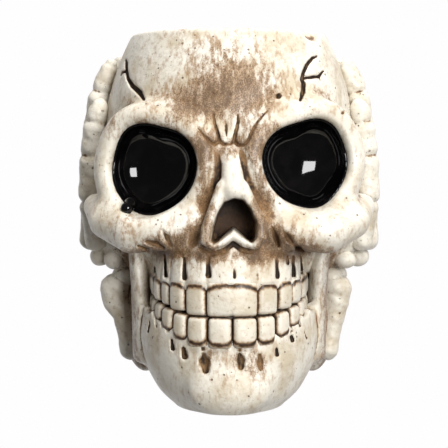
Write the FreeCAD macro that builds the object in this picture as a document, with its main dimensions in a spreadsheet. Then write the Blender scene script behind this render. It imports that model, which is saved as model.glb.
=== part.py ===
"""Hollow skull aquarium ornament with skeletal hands over its ears and an air stone in its open crown.

The row frame is millimetres, +Z up, with the face looking along -Y. The origin lies on the flat base,
under the middle of the head. The skull's own right side is -X.
"""
import FreeCAD, Part
import math
import os

from FreeCAD import Placement, Rotation, Vector

# --------------------------------------------------------------------------------------------------
# Driving dimensions, in millimetres unless a name says otherwise
# --------------------------------------------------------------------------------------------------
DIMENSIONS = {
    "Whole casting": {
        "skull_height": 115.0,
        "rim_width": 60.0,
        "bond_gap": 0.1,
    },
    "Braincase": {
        "cranium_width": 87.0,
        "cranium_depth": 92.0,
        "cranium_centre_z": 77.0,
        "cranium_centre_y": 7.0,
        "cranium_drop": 50.0,
        "forehead_width": 73.0,
        "forehead_reach": 36.0,
        "forehead_rim_reach": 27.0,
        "forehead_centre_z": 84.0,
        "forehead_centre_y": -3.0,
        "forehead_drop": 38.0,
    },
    "Bowl": {
        "bowl_mouth_width": 52.0,
        "bowl_mouth_depth": 60.0,
        "bowl_mouth_y": 5.0,
        "bowl_belly_width": 64.0,
        "bowl_belly_depth": 60.0,
        "bowl_belly_y": 9.0,
        "bowl_belly_z": 80.0,
        "bowl_floor_width": 40.0,
        "bowl_floor_depth": 44.0,
        "bowl_floor_y": 8.0,
        "bowl_floor_z": 44.0,
    },
    "Face": {
        "face_width": 80.0,
        "face_height": 60.0,
        "face_reach": 27.0,
        "face_centre_z": 68.0,
        "face_centre_y": -10.0,
        "eye_spacing": 45.8,
        "eye_height": 72.0,
        "eye_plane_y": -34.0,
        "eye_turn_angle": 24.0,
        "socket_width": 27.0,
        "socket_tall": 26.0,
        "socket_depth": 12.0,
        "brow_ring_thickness": 8.0,
        "brow_mound_depth": 15.0,
        "brow_mound_set_back": 7.0,
        "gloss_thickness": 1.0,
        "cheek_spacing": 58.0,
        "cheek_height": 54.5,
        "cheek_y": -26.5,
        "cheek_width": 26.0,
        "cheek_tall": 16.0,
        "cheek_depth": 21.0,
    },
    "Nose": {
        "nose_top_z": 82.0,
        "nose_base_z": 48.8,
        "nose_front_y": -47.5,
        "nose_bridge_width": 7.0,
        "nose_base_width": 20.0,
        "nostril_width": 6.4,
        "nostril_spacing": 6.6,
        "nostril_top_z": 64.0,
        "nostril_base_z": 51.0,
        "nostril_depth": 9.0,
    },
    "Jaws and teeth": {
        "mouth_height": 29.35,
        "arch_width": 46.0,
        "arch_reach": 26.5,
        "arch_centre_y": -21.0,
        "tooth_thickness": 4.4,
        "tooth_gap": 0.35,
        "upper_tooth_tall": 7.9,
        "lower_tooth_tall": 8.0,
        "front_tooth_width": 7.2,
        "side_tooth_width": 5.2,
        "tooth_rounding": 1.1,
        "muzzle_top_z": 52.0,
        "jaw_base_width": 36.0,
        "jaw_base_reach": 29.0,
        "jaw_middle_width": 54.0,
        "jaw_top_width": 58.0,
        "jaw_reach": 33.5,
        "jaw_centre_y": -14.0,
        "jaw_back_y": -5.0,
        "ramus_base_z": 12.0,
        "ramus_top_z": 50.0,
        "ramus_width": 13.0,
        "ramus_thickness": 7.0,
        "ramus_spacing": 54.0,
        "ramus_y": -13.0,
        "ramus_rounding": 2.6,
    },
    "Neck and base": {
        "neck_base_width": 40.0,
        "neck_base_depth": 56.0,
        "neck_top_width": 62.0,
        "neck_top_depth": 62.0,
        "neck_top_z": 46.0,
        "neck_centre_y": 0.0,
    },
    "Hands": {
        "hand_centre_y": 7.0,
        "knuckle_height": 62.5,
        "knuckle_gap": 1.0,
        "palm_base_gap": 0.0,
        "wrist_pitch": 6.3,
        "palm_base_z": 47.6,
        "finger_thickness": 7.0,
        "finger_waist": 5.2,
        "bone_gap": 0.5,
        "bone_stand_share": 0.7,
        "index_tip_z": 101.0,
        "middle_tip_z": 108.0,
        "ring_tip_z": 107.0,
        "little_tip_z": 92.0,
        "thumb_tip_y": 43.0,
        "thumb_tip_z": 71.0,
        "pad_width": 15.0,
        "pad_depth": 38.0,
        "pad_tall": 34.0,
        "pad_centre_z": 47.0,
        "wrist_bone_size": 6.0,
        "wrist_row_pitch": 5.8,
        "forearm_top_z": 35.5,
        "forearm_top_spacing": 76.0,
        "forearm_base_z": 12.0,
        "forearm_base_spacing": 62.0,
        "forearm_pitch": 9.4,
        "forearm_head": 9.0,
        "forearm_waist": 6.4,
        "web_width": 16.0,
        "web_depth": 18.0,
        "web_tall": 34.0,
        "web_spacing": 54.0,
        "web_centre_z": 23.0,
    },
    "Air system": {
        "pipe_outside": 5.0,
        "pipe_inside": 3.0,
        "pipe_entry_z": 17.0,
        "pipe_bend_radius": 12.0,
        "pipe_tail_length": 14.0,
        "pipe_rise": 6.0,
        "hose_stop_outside": 7.5,
        "hose_stop_width": 1.5,
        "hose_stop_gap": 1.0,
        "sleeve_wall": 1.2,
        "sleeve_length": 11.0,
        "push_fit_gap": 0.04,
        "stem_inside": 2.6,
        "flange_thickness": 1.6,
        "stone_diameter": 16.0,
        "stone_length": 24.0,
        "stone_bore_depth": 9.0,
    },
}

# Shares of a finger's straight length that its three bones take, from the knuckle to the tip.
PHALANX_SHARES = (0.44, 0.32, 0.24)
# Head widths along a finger and a thumb, from the wrist to the tip, as shares of the finger's thickness.
FINGER_WIDTHS = (0.9, 1.0, 0.95, 0.88, 0.72)
THUMB_WIDTHS = (1.0, 1.0, 0.95, 0.75)
# Where the thumb's joints lie on its length, and how much of the palm's fan the fingers keep.
THUMB_STATIONS = (0.0, 0.42, 0.74, 1.0)
FAN_SHARE = 0.35
FINGERS = ("little", "ring", "middle", "index")
SIDES = {"right": -1, "left": 1}
TEETH_PER_SIDE = 6

doc = FreeCAD.newDocument("skull_ornament")
sheet = doc.addObject("Spreadsheet::Sheet", "dims")
row = 1
for group, values in DIMENSIONS.items():
    sheet.set(f"A{row}", group)
    row += 1
    for alias, value in values.items():
        sheet.set(f"A{row}", alias.replace("_", " "))
        sheet.set(f"B{row}", str(value))
        sheet.setAlias(f"B{row}", alias)
        row += 1
doc.recompute()


def size(alias):
    """The value of one cell of the sheet, as a plain number."""
    return float(sheet.get(alias))


def bind(obj, **expressions):
    """Ties properties of an object to the sheet. A double underscore in a key stands for a dot."""
    for key, expression in expressions.items():
        obj.setExpression(key.replace("__", "."), expression)
    return obj


def place(obj, x="0", y="0", z="0"):
    """Ties an object's position to three expressions of the sheet."""
    return bind(obj, Placement__Base__x=x, Placement__Base__y=y, Placement__Base__z=z)


def ellipsoid(name, along_x, along_y, along_z, low=-90, high=90):
    """An ellipsoid with its three radii given as expressions, whole or cut at two latitudes."""
    obj = doc.addObject("Part::Ellipsoid", name)
    obj.Angle1, obj.Angle2 = low, high
    return bind(obj, Radius1=along_z, Radius2=along_x, Radius3=along_y)


def ellipse(name, across, along, y, z):
    """A flat ellipse in four arcs that start at +X, as one section of a loft."""
    side, back, centre = Vector(across, y, z), Vector(0, y + along, z), Vector(0, y, z)
    if across >= along:
        curve, start = Part.Ellipse(side, back, centre), 0.0
    else:
        curve, start = Part.Ellipse(back, Vector(-across, y, z), centre), -math.pi / 2
    quarters = [start + i * math.pi / 2 for i in range(5)]
    arcs = [Part.ArcOfEllipse(curve, a, b).toShape() for a, b in zip(quarters, quarters[1:])]
    obj = doc.addObject("Part::Feature", name)
    obj.Shape = Part.Wire(arcs)
    return obj


def loft(name, sections, ruled=False):
    obj = doc.addObject("Part::Loft", name)
    obj.Sections = sections
    obj.Solid = True
    obj.Ruled = ruled
    return obj


def fuse(name, pieces):
    obj = doc.addObject("Part::MultiFuse", name)
    obj.Shapes = pieces
    return obj


def cut(name, base, tool):
    obj = doc.addObject("Part::Cut", name)
    obj.Base = base
    obj.Tool = tool
    return obj


def common(name, pieces):
    obj = doc.addObject("Part::MultiCommon", name)
    obj.Shapes = pieces
    return obj


def group(name, pieces):
    obj = doc.addObject("Part::Compound", name)
    obj.Links = pieces
    return obj


NODES = []


def node(obj, label):
    """Names an object as one sub-part that is written to its own file."""
    obj.Label = label
    NODES.append(obj)
    return obj


# --------------------------------------------------------------------------------------------------
# Braincase, forehead and neck
# --------------------------------------------------------------------------------------------------
def half_dome(name, width, reach, centre_y, centre_z, rim_share, drop):
    """Two half ellipsoids on one equator: the upper one meets the rim plane at a stated share of its width."""
    rise = f"(dims.skull_height - {centre_z}) / sqrt(1 - ({rim_share}) ^ 2)"
    upper = ellipsoid(name + "_upper", width, reach, rise, low=0)
    lower = ellipsoid(name + "_lower", width, reach, drop, high=0)
    for half in (upper, lower):
        place(half, y=centre_y, z=centre_z)
    return [upper, lower]


cranium = half_dome(
    "cranium",
    "dims.cranium_width / 2",
    "dims.cranium_depth / 2",
    "dims.cranium_centre_y",
    "dims.cranium_centre_z",
    "dims.rim_width / dims.cranium_width",
    "dims.cranium_drop",
)
forehead = half_dome(
    "forehead",
    "dims.forehead_width / 2",
    "dims.forehead_reach",
    "dims.forehead_centre_y",
    "dims.forehead_centre_z",
    "dims.forehead_rim_reach / dims.forehead_reach",
    "dims.forehead_drop",
)


def neck_radii(z):
    """Half width and half depth of the neck at a height."""
    t = z / size("neck_top_z")
    across = size("neck_base_width") + t * (size("neck_top_width") - size("neck_base_width"))
    along = size("neck_base_depth") + t * (size("neck_top_depth") - size("neck_base_depth"))
    return across / 2, along / 2


def neck_column(name, extra):
    """The tapered neck, from the base to inside the braincase, grown sideways by a stated amount."""
    sections = []
    for z in (0.0, size("neck_top_z")):
        across, along = neck_radii(z)
        y = size("neck_centre_y")
        sections.append(ellipse(f"{name}_at_{z:.0f}", across + extra, along + extra, y, z))
    return loft(name, sections, ruled=True)


neck = neck_column("neck", 0.0)


def cranium_side_x(y, z):
    """How far out the braincase's side lies at a depth and a height, or 0 where it doesn't reach."""
    half = size("cranium_width") / 2
    if z > size("cranium_centre_z"):
        rim = size("rim_width") / size("cranium_width")
        rise = (size("skull_height") - size("cranium_centre_z")) / math.sqrt(1 - rim**2)
    else:
        rise = size("cranium_drop")
    along = (y - size("cranium_centre_y")) / (size("cranium_depth") / 2)
    up = (z - size("cranium_centre_z")) / rise
    return half * math.sqrt(max(0.0, 1 - along**2 - up**2))


# --------------------------------------------------------------------------------------------------
# Face: brow rings, cheekbones, nose and muzzle
# --------------------------------------------------------------------------------------------------
face_mask = place(
    ellipsoid("face_mask", "dims.face_width / 2", "dims.face_reach", "dims.face_height / 2"),
    y="dims.face_centre_y",
    z="dims.face_centre_z",
)


def eye_frame(side):
    """Where an eye socket lies and how it is turned outwards."""
    turn = Rotation(Vector(0, 0, 1), side * size("eye_turn_angle"))
    centre = Vector(side * size("eye_spacing") / 2, size("eye_plane_y"), size("eye_height"))
    return Placement(centre, turn)


def brow_ring(side_name, side):
    """A thick rounded rim around one socket, which laps a little over the socket's edge."""
    rim = doc.addObject("Part::Torus", f"{side_name}_brow_ring")
    bind(
        rim,
        Radius1="dims.socket_width / 2 + dims.brow_ring_thickness * 0.38",
        Radius2="dims.brow_ring_thickness / 2",
    )
    rim.Placement = eye_frame(side).multiply(Placement(Vector(), Rotation(Vector(1, 0, 0), 90)))
    return rim


def brow_mound(side_name, side):
    """The swelling that carries one ring and fills the space behind it."""
    obj = ellipsoid(
        f"{side_name}_brow_mound",
        "dims.socket_width / 2 + dims.brow_ring_thickness * 0.8",
        "dims.brow_mound_depth",
        "dims.socket_tall / 2 + dims.brow_ring_thickness * 0.8",
    )
    set_back = Placement(Vector(0, size("brow_mound_set_back"), 0), Rotation())
    obj.Placement = eye_frame(side).multiply(set_back)
    return obj


def cheekbone(side_name, side):
    obj = ellipsoid(
        f"{side_name}_cheekbone",
        "dims.cheek_width / 2",
        "dims.cheek_depth / 2",
        "dims.cheek_tall / 2",
    )
    turn = Rotation(Vector(0, 0, 1), side * size("eye_turn_angle"))
    centre = Vector(side * size("cheek_spacing") / 2, size("cheek_y"), size("cheek_height"))
    obj.Placement = Placement(centre, turn)
    return obj


def palm_pad_centre_x():
    """The hand's pad is let half its width into the braincase's side."""
    return cranium_side_x(size("hand_centre_y"), size("pad_centre_z"))


def palm_pad(side_name, side):
    """The mound of resin behind the palm and the wrist."""
    obj = ellipsoid(
        f"{side_name}_palm_pad", "dims.pad_width / 2", "dims.pad_depth / 2", "dims.pad_tall / 2"
    )
    centre = Vector(side * palm_pad_centre_x(), size("hand_centre_y"), size("pad_centre_z"))
    obj.Placement = Placement(centre, Rotation())
    return obj


def arm_web(side_name, side):
    """The web of resin that joins the forearm bones to the neck."""
    obj = ellipsoid(
        f"{side_name}_arm_web", "dims.web_width / 2", "dims.web_depth / 2", "dims.web_tall / 2"
    )
    return place(
        obj, x=f"{side} * dims.web_spacing / 2", y="dims.hand_centre_y - 1", z="dims.web_centre_z"
    )


def nose_mass():
    """A narrow bridge between the brows that spreads to two lobes over the muzzle."""
    top, base = size("nose_top_z"), size("nose_base_z")
    tall = top - base
    front = size("nose_front_y")
    steps = (
        (1.00, size("nose_bridge_width") * 0.6, 0.62),
        (0.72, size("nose_bridge_width"), 0.78),
        (0.38, size("nose_base_width") * 0.72, 0.96),
        (0.14, size("nose_base_width"), 1.0),
        (0.00, size("nose_base_width") * 0.9, 0.97),
    )
    root = size("face_centre_y")
    sections = [
        ellipse(f"nose_section_{i}", width / 2, (root - front) * reach, root, base + tall * share)
        for i, (share, width, reach) in enumerate(steps)
    ]
    return loft("nose_mass", sections)


def nostril(side_name, side):
    obj = ellipsoid(
        f"{side_name}_nostril",
        "dims.nostril_width / 2",
        "dims.nostril_depth",
        "(dims.nostril_top_z - dims.nostril_base_z) / 2",
    )
    lean = Rotation(Vector(0, 1, 0), -side * 14)
    z = (size("nostril_top_z") + size("nostril_base_z")) / 2
    centre = Vector(side * size("nostril_spacing") / 2, size("nose_front_y"), z)
    obj.Placement = Placement(centre, lean)
    return obj


def arch_block(name, inset, low, high):
    """A block whose plan is the dental arch, set in by a stated amount, between two heights."""
    across = size("arch_width") / 2 - inset
    along = size("arch_reach") - inset
    y = size("arch_centre_y")
    return loft(name, [ellipse(f"{name}_{z:.1f}", across, along, y, z) for z in (low, high)], True)


gum_line = size("mouth_height") + size("tooth_gap") / 2 + size("upper_tooth_tall")
root_line = size("mouth_height") - size("tooth_gap") / 2 - size("lower_tooth_tall")
muzzle = arch_block("muzzle", 0.0, gum_line, size("muzzle_top_z"))
mouth_core = arch_block("mouth_core", size("tooth_thickness"), root_line - 4.0, gum_line + 2.0)

skull_pieces = cranium + forehead + [neck, face_mask, nose_mass(), muzzle, mouth_core]
for side_name, side in SIDES.items():
    for make in (brow_ring, brow_mound, cheekbone, palm_pad, arm_web):
        skull_pieces.append(make(side_name, side))
skull_mass = fuse("skull_mass", skull_pieces)


# --------------------------------------------------------------------------------------------------
# What is taken out of the casting: crown, bowl, sockets, nostrils and the pipe's bore
# --------------------------------------------------------------------------------------------------
def crown_cutter():
    """Everything above the flat rim."""
    box = doc.addObject("Part::Box", "crown_cutter")
    bind(
        box,
        Length="2 * dims.cranium_width",
        Width="2 * dims.cranium_depth",
        Height="dims.skull_height",
    )
    return place(
        box,
        x="-dims.cranium_width",
        y="-dims.cranium_depth",
        z="dims.skull_height",
    )


def bowl_space():
    """The open bowl in the braincase: a flat floor, a wider belly and a narrower mouth."""
    sections = []
    for level, z in (
        ("floor", size("bowl_floor_z")),
        ("belly", size("bowl_belly_z")),
        ("mouth", size("skull_height")),
    ):
        across, along = size(f"bowl_{level}_width") / 2, size(f"bowl_{level}_depth") / 2
        sections.append(ellipse(f"bowl_{level}", across, along, size(f"bowl_{level}_y"), z))
    return loft("bowl_space", sections)


def socket(name, side, inset):
    """The hollow of one eye, shrunk on every side by a stated amount."""
    obj = ellipsoid(
        name,
        f"dims.socket_width / 2 - ({inset})",
        f"dims.socket_depth - ({inset})",
        f"dims.socket_tall / 2 - ({inset})",
    )
    obj.Placement = eye_frame(side)
    return obj


pipe_y = size("bowl_floor_y")
neck_back_y = size("neck_centre_y") + neck_radii(size("pipe_entry_z"))[1]
pipe_tail_y = neck_back_y + size("pipe_tail_length")
pipe_head_z = size("bowl_floor_z") + size("pipe_rise")


def pipe_path():
    """Up from the bowl and back through the neck, as two straight runs and one bend."""
    radius = size("pipe_bend_radius")
    entry = size("pipe_entry_z")
    head = Vector(0, pipe_y, pipe_head_z)
    bend_top = Vector(0, pipe_y, entry + radius)
    bend_back = Vector(0, pipe_y + radius, entry)
    middle = Vector(
        0,
        pipe_y + radius * (1 - math.cos(math.pi / 4)),
        entry + radius * (1 - math.sin(math.pi / 4)),
    )
    tail = Vector(0, pipe_tail_y, entry)
    return Part.Wire(
        [
            Part.LineSegment(head, bend_top).toShape(),
            Part.Arc(bend_top, middle, bend_back).toShape(),
            Part.LineSegment(bend_back, tail).toShape(),
        ]
    )


def swept(name, radius):
    """A round bar along the pipe's path."""
    circle = Part.Circle(Vector(0, pipe_y, pipe_head_z), Vector(0, 0, 1), radius)
    obj = doc.addObject("Part::Feature", name)
    obj.Shape = pipe_path().makePipeShell([Part.Wire([circle.toShape()])], True, True)
    return obj


pipe_bore = swept("pipe_bore", size("pipe_outside") / 2 + size("bond_gap") / 2)

cutters = [crown_cutter(), bowl_space(), pipe_bore]
for side_name, side in SIDES.items():
    cutters += [socket(f"{side_name}_socket", side, "0"), nostril(side_name, side)]


# --------------------------------------------------------------------------------------------------
# Hands and forearms
# --------------------------------------------------------------------------------------------------
def resting_x(y, z):
    """How far out the surface lies that a hand bone rests on: braincase, palm pad or neck."""
    across, along = neck_radii(z)
    reach = (y - size("neck_centre_y")) / along
    neck_x = across * math.sqrt(max(0.0, 1 - reach**2)) if z < size("neck_top_z") else 0.0
    along = (y - size("hand_centre_y")) / (size("pad_depth") / 2)
    up = (z - size("pad_centre_z")) / (size("pad_tall") / 2)
    inside = 1 - along**2 - up**2
    pad_x = palm_pad_centre_x() + size("pad_width") / 2 * math.sqrt(inside) if inside > 0 else 0.0
    return max(cranium_side_x(y, z), pad_x, neck_x)


def resting_point(side, y, z, radius):
    """The axis of a bone of that radius where it is let partly into the surface."""
    return Vector(side * (resting_x(y, z) + size("bone_stand_share") * radius), y, z)


def bone(name, start, end, head, tip, waist):
    """A long bone: a waisted shaft between two rounded heads. Its three widths are expressions.

    Each head is as round as its width asks, up to the length that leaves a shaft between the two.
    """
    length = (end - start).Length
    lower_round = f"min({head} * 0.55; {0.45 * length})"
    upper_round = f"min({tip} * 0.55; {0.45 * length})"
    lower = ellipsoid(name + "_lower_head", f"{head} / 2", f"{head} / 2", lower_round)
    upper = ellipsoid(name + "_upper_head", f"{tip} / 2", f"{tip} / 2", upper_round)
    place(lower, z=lower_round)
    place(upper, z=f"{length} - {upper_round}")
    shaft = doc.addObject("Part::Cone", name + "_shaft")
    bind(
        shaft,
        Radius1=f"{waist} / 2",
        Radius2=f"{waist} / 2 * {tip} / {head}",
        Height=f"{length} - {lower_round} - {upper_round}",
    )
    place(shaft, z=lower_round)
    whole = fuse(name, [lower, shaft, upper])
    whole.Placement = Placement(start, Rotation(Vector(0, 0, 1), end - start))
    return whole


def chain(name, side, stations, shares):
    """Finger bones in a row along (y, z) stations, each let into the surface it rests on."""
    thick = size("finger_thickness")
    bones = []
    for i in range(len(stations) - 1):
        start = resting_point(side, *stations[i], thick * shares[i] / 2)
        end = resting_point(side, *stations[i + 1], thick * shares[i + 1] / 2)
        gap = (end - start).normalize() * (size("bone_gap") / 2)
        head = f"dims.finger_thickness * {shares[i]}"
        tip = f"dims.finger_thickness * {shares[i + 1]}"
        waist = f"dims.finger_waist * {shares[i]}"
        bones.append(bone(f"{name}_{i}", start + gap, end - gap, head, tip, waist))
    return bones


def bone_pitch(station, gap):
    """The spacing of neighbouring bones: the width of one at that station, and the gap between two."""
    return FINGER_WIDTHS[station] * size("finger_thickness") + size(gap)


def finger(side_name, side, index, finger_name):
    """A palm bone from the wrist to the knuckle and three finger bones from there to the tip."""
    offset = index - (len(FINGERS) - 1) / 2
    knuckle_z = size("knuckle_height")
    base_y = size("hand_centre_y") + offset * bone_pitch(0, "palm_base_gap")
    knuckle_y = size("hand_centre_y") + offset * bone_pitch(1, "knuckle_gap")
    fan = FAN_SHARE * (knuckle_y - base_y) / (knuckle_z - size("palm_base_z"))
    stations = [(base_y, size("palm_base_z")), (knuckle_y, knuckle_z)]
    reached = 0.0
    for share in PHALANX_SHARES:
        reached += share * (size(f"{finger_name}_tip_z") - knuckle_z)
        stations.append((knuckle_y + fan * reached, knuckle_z + reached))
    name = f"{side_name}_{finger_name}"
    bones = chain(name, side, stations, FINGER_WIDTHS)
    node(bones[0], f"{name}_palm_bone")
    node(group(f"{name}_group", bones[1:]), f"{name}_finger")
    return bones


def thumb(side_name, side):
    """Three bones that run back and up from the wrist."""
    start_y = size("hand_centre_y") + 2.3 * bone_pitch(0, "palm_base_gap")
    start_z = size("palm_base_z") + 2.0
    rise_y, rise_z = size("thumb_tip_y") - start_y, size("thumb_tip_z") - start_z
    stations = [(start_y + share * rise_y, start_z + share * rise_z) for share in THUMB_STATIONS]
    bones = chain(f"{side_name}_thumb", side, stations, THUMB_WIDTHS)
    node(group(f"{side_name}_thumb_group", bones), f"{side_name}_thumb")
    return bones


def wrist(side_name, side):
    """Two rows of small rounded bones between the palm and the forearm."""
    pebbles = []
    pebble = size("wrist_bone_size")
    for level, count in ((0, 4), (1, 3)):
        z = size("palm_base_z") - size("bone_gap") - pebble / 2 - level * size("wrist_row_pitch")
        for i in range(count):
            y = size("hand_centre_y") + (i - (count - 1) / 2) * size("wrist_pitch")
            obj = ellipsoid(
                f"{side_name}_wrist_{level}_{i}",
                "dims.wrist_bone_size / 2",
                "dims.wrist_bone_size / 2",
                "dims.wrist_bone_size * 0.47",
            )
            obj.Placement.Base = resting_point(side, y, z, pebble / 2)
            pebbles.append(obj)
    node(group(f"{side_name}_wrist_group", pebbles), f"{side_name}_wrist_bones")
    return pebbles


def forearm(side_name, side):
    """The two long bones under the wrist, which lean in towards the neck."""
    bones = []
    for bone_name, offset in (("radius", -0.5), ("ulna", 0.5)):
        y = size("hand_centre_y") - 1.0 + offset * size("forearm_pitch")
        top = Vector(side * size("forearm_top_spacing") / 2, y, size("forearm_top_z"))
        base = Vector(side * size("forearm_base_spacing") / 2, y, size("forearm_base_z"))
        name = f"{side_name}_forearm_{bone_name}"
        head = "dims.forearm_head"
        bones.append(node(bone(name, top, base, head, f"{head} * 0.85", "dims.forearm_waist"), name))
    return bones


hand_bones = []
for side_name, side in SIDES.items():
    for index, finger_name in enumerate(FINGERS):
        hand_bones += finger(side_name, side, index, finger_name)
    hand_bones += thumb(side_name, side)
    hand_bones += wrist(side_name, side)
    hand_bones += forearm(side_name, side)

cutters.append(group("hand_seats", hand_bones))


# --------------------------------------------------------------------------------------------------
# Teeth
# --------------------------------------------------------------------------------------------------
def arch_point(distance):
    """A point of the dental arch and its outward direction, at a distance along it from the middle."""
    across, along = size("arch_width") / 2, size("arch_reach")
    travelled, angle, step = 0.0, 0.0, 0.002
    while travelled < abs(distance):
        travelled += step * math.hypot(across * math.cos(angle), along * math.sin(angle))
        angle += step
    angle = math.copysign(angle, distance)
    point = Vector(across * math.sin(angle), size("arch_centre_y") - along * math.cos(angle), 0)
    normal = Vector(math.sin(angle) / across, -math.cos(angle) / along, 0).normalize()
    return point, normal


def tooth(name, distance, width, low, tall):
    """One crown: a block that narrows inwards, with every edge rounded."""
    thick = size("tooth_thickness") - size("bond_gap")
    point, normal = arch_point(distance)
    inner = width * (1 - size("tooth_thickness") / size("arch_reach") * 1.15)
    block = doc.addObject("Part::Wedge", name + "_block")
    block.Xmin, block.Xmax, block.X2min, block.X2max = -inner / 2, inner / 2, -width / 2, width / 2
    block.Ymin, block.Ymax = -thick, 0
    block.Zmin, block.Zmax, block.Z2min, block.Z2max = 0, tall, 0, tall
    crown = doc.addObject("Part::Fillet", name)
    crown.Base = block
    radius = min(size("tooth_rounding"), 0.3 * inner, 0.3 * thick)
    crown.Edges = [(edge + 1, radius, radius) for edge in range(12)]
    turn = Rotation(Vector(0, 1, 0), normal)
    crown.Placement = Placement(Vector(point.x, point.y, low), turn)
    return crown


def tooth_row(label, low, tall):
    """A row of crowns from the middle out to both sides, with a small gap between neighbours."""
    crowns = []
    distance = 0.0
    for i in range(TEETH_PER_SIDE):
        width = size("front_tooth_width") if i == 0 else size("side_tooth_width")
        centre = distance + width / 2
        for side_name, side in SIDES.items():
            name = f"{label}_{side_name}_{i}"
            crowns.append(tooth(name, side * centre, width - size("tooth_gap"), low, tall))
        distance += width
    return node(group(f"{label}_group", crowns), label)


half_gap = size("tooth_gap") / 2
upper_teeth = tooth_row("upper_teeth", size("mouth_height") + half_gap, size("upper_tooth_tall"))
tooth_row("lower_teeth", root_line, size("lower_tooth_tall"))

cutters.append(upper_teeth)
skull_casting = node(cut("skull", skull_mass, group("skull_cutters", cutters)), "skull_casting")

# --------------------------------------------------------------------------------------------------
# Lower jaw
# --------------------------------------------------------------------------------------------------
def jaw_body():
    """The chin and the body of the jaw as a loft of ellipses, from the base to under the lower teeth."""
    y = size("jaw_centre_y")
    sections = [
        ellipse("jaw_base", size("jaw_base_width") / 2, size("jaw_base_reach"), y, 0.0),
        ellipse("jaw_low", size("jaw_middle_width") * 0.44, size("jaw_reach") * 0.95, y, 5.0),
        ellipse("jaw_middle", size("jaw_middle_width") / 2, size("jaw_reach"), y, root_line * 0.6),
        ellipse("jaw_top", size("jaw_top_width") / 2, size("jaw_reach") * 0.97, y, root_line),
    ]
    return loft("jaw_body", sections)


def ramus(side_name, side):
    """The flat plate that rises behind the teeth to under the cheekbone."""
    plate = doc.addObject("Part::Box", f"{side_name}_ramus_plate")
    bind(
        plate,
        Length="dims.ramus_thickness",
        Width="dims.ramus_width",
        Height="dims.ramus_top_z - dims.ramus_base_z",
    )
    place(
        plate,
        x=f"{side} * dims.ramus_spacing / 2 - dims.ramus_thickness / 2",
        y="dims.ramus_y - dims.ramus_width / 2",
        z="dims.ramus_base_z",
    )
    rounded = doc.addObject("Part::Fillet", f"{side_name}_ramus")
    rounded.Base = plate
    radius = min(size("ramus_rounding"), 0.45 * size("ramus_thickness"))
    rounded.Edges = [(edge + 1, radius, radius) for edge in range(12)]
    return rounded


behind_jaw = doc.addObject("Part::Box", "behind_jaw")
bind(behind_jaw, Length="2 * dims.cranium_width", Width="dims.cranium_depth", Height="dims.skull_height")
place(behind_jaw, x="-dims.cranium_width", y="dims.jaw_back_y", z="0")
jaw_mass = fuse("jaw_mass", [jaw_body()] + [ramus(n, s) for n, s in SIDES.items()])
jaw_front = cut("jaw_front", jaw_mass, behind_jaw)
node(cut("jaw", jaw_front, skull_casting), "mandible")


# --------------------------------------------------------------------------------------------------
# Gloss black eye pools
# --------------------------------------------------------------------------------------------------
def eye_pool(side_name, side):
    """A bowl-shaped skin of poured black resin that lines one socket behind its plane."""
    outer = socket(f"{side_name}_pool_outer", side, "dims.bond_gap / 2")
    inner = socket(f"{side_name}_pool_inner", side, "dims.gloss_thickness")
    skin = cut(f"{side_name}_pool_skin", outer, inner)
    behind = doc.addObject("Part::Box", f"{side_name}_pool_keep")
    bind(
        behind,
        Length="2 * dims.socket_width",
        Width="2 * dims.socket_depth",
        Height="2 * dims.socket_tall",
    )
    corner = Vector(-size("socket_width"), size("gloss_thickness"), -size("socket_tall"))
    behind.Placement = eye_frame(side).multiply(Placement(corner, Rotation()))
    return node(common(f"{side_name}_pool", [skin, behind]), f"{side_name}_eye_gloss")


for side_name, side in SIDES.items():
    eye_pool(side_name, side)


# --------------------------------------------------------------------------------------------------
# Air system: pipe, sleeve, stem and stone
# --------------------------------------------------------------------------------------------------
def tube(name, outer, inner, low, tall):
    """A plain tube on the pipe's upright axis, with its radii, foot and height as expressions."""
    cylinders = []
    for part_name, radius in ((name + "_outer", outer), (name + "_inner", inner)):
        obj = doc.addObject("Part::Cylinder", part_name)
        bind(obj, Radius=radius, Height=tall)
        cylinders.append(place(obj, y="dims.bowl_floor_y", z=low))
    return cut(name, *cylinders)


def hose_stop():
    """The bead behind the neck that an air line is pushed up to."""
    bead = doc.addObject("Part::Cylinder", "hose_stop")
    start = Vector(0, neck_back_y + size("hose_stop_gap"), size("pipe_entry_z"))
    bead.Placement = Placement(start, Rotation(Vector(0, 0, 1), Vector(0, 1, 0)))
    return bind(bead, Radius="dims.hose_stop_outside / 2", Height="dims.hose_stop_width")


pipe_outer = swept("pipe_outer", size("pipe_outside") / 2)
pipe_inner = swept("pipe_inner", size("pipe_inside") / 2)
node(cut("pipe", fuse("pipe_and_stop", [pipe_outer, hose_stop()]), pipe_inner), "air_pipe")

push_bore = "(dims.pipe_outside / 2 + dims.push_fit_gap)"
sleeve_low = "dims.bowl_floor_z + dims.bond_gap"
sleeve = tube("sleeve", f"{push_bore} + dims.sleeve_wall", push_bore, sleeve_low, "dims.sleeve_length")
node(sleeve, "coupling_sleeve")

stem_low = "(dims.bowl_floor_z + dims.pipe_rise + dims.bone_gap)"
flange_low = f"({sleeve_low} + dims.sleeve_length + dims.bone_gap)"
flange_top = f"({flange_low} + dims.flange_thickness)"
stem_radius, stem_bore = "dims.pipe_outside / 2", "dims.stem_inside / 2"
stem = fuse(
    "stem",
    [
        tube("stem_spigot", stem_radius, stem_bore, stem_low, f"{flange_low} - {stem_low}"),
        tube("stem_flange", "dims.pipe_outside", stem_bore, flange_low, "dims.flange_thickness"),
        tube("stem_nose", stem_radius, stem_bore, flange_top, "dims.stone_bore_depth - dims.bone_gap"),
    ],
)
node(stem, "stone_stem")


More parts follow.
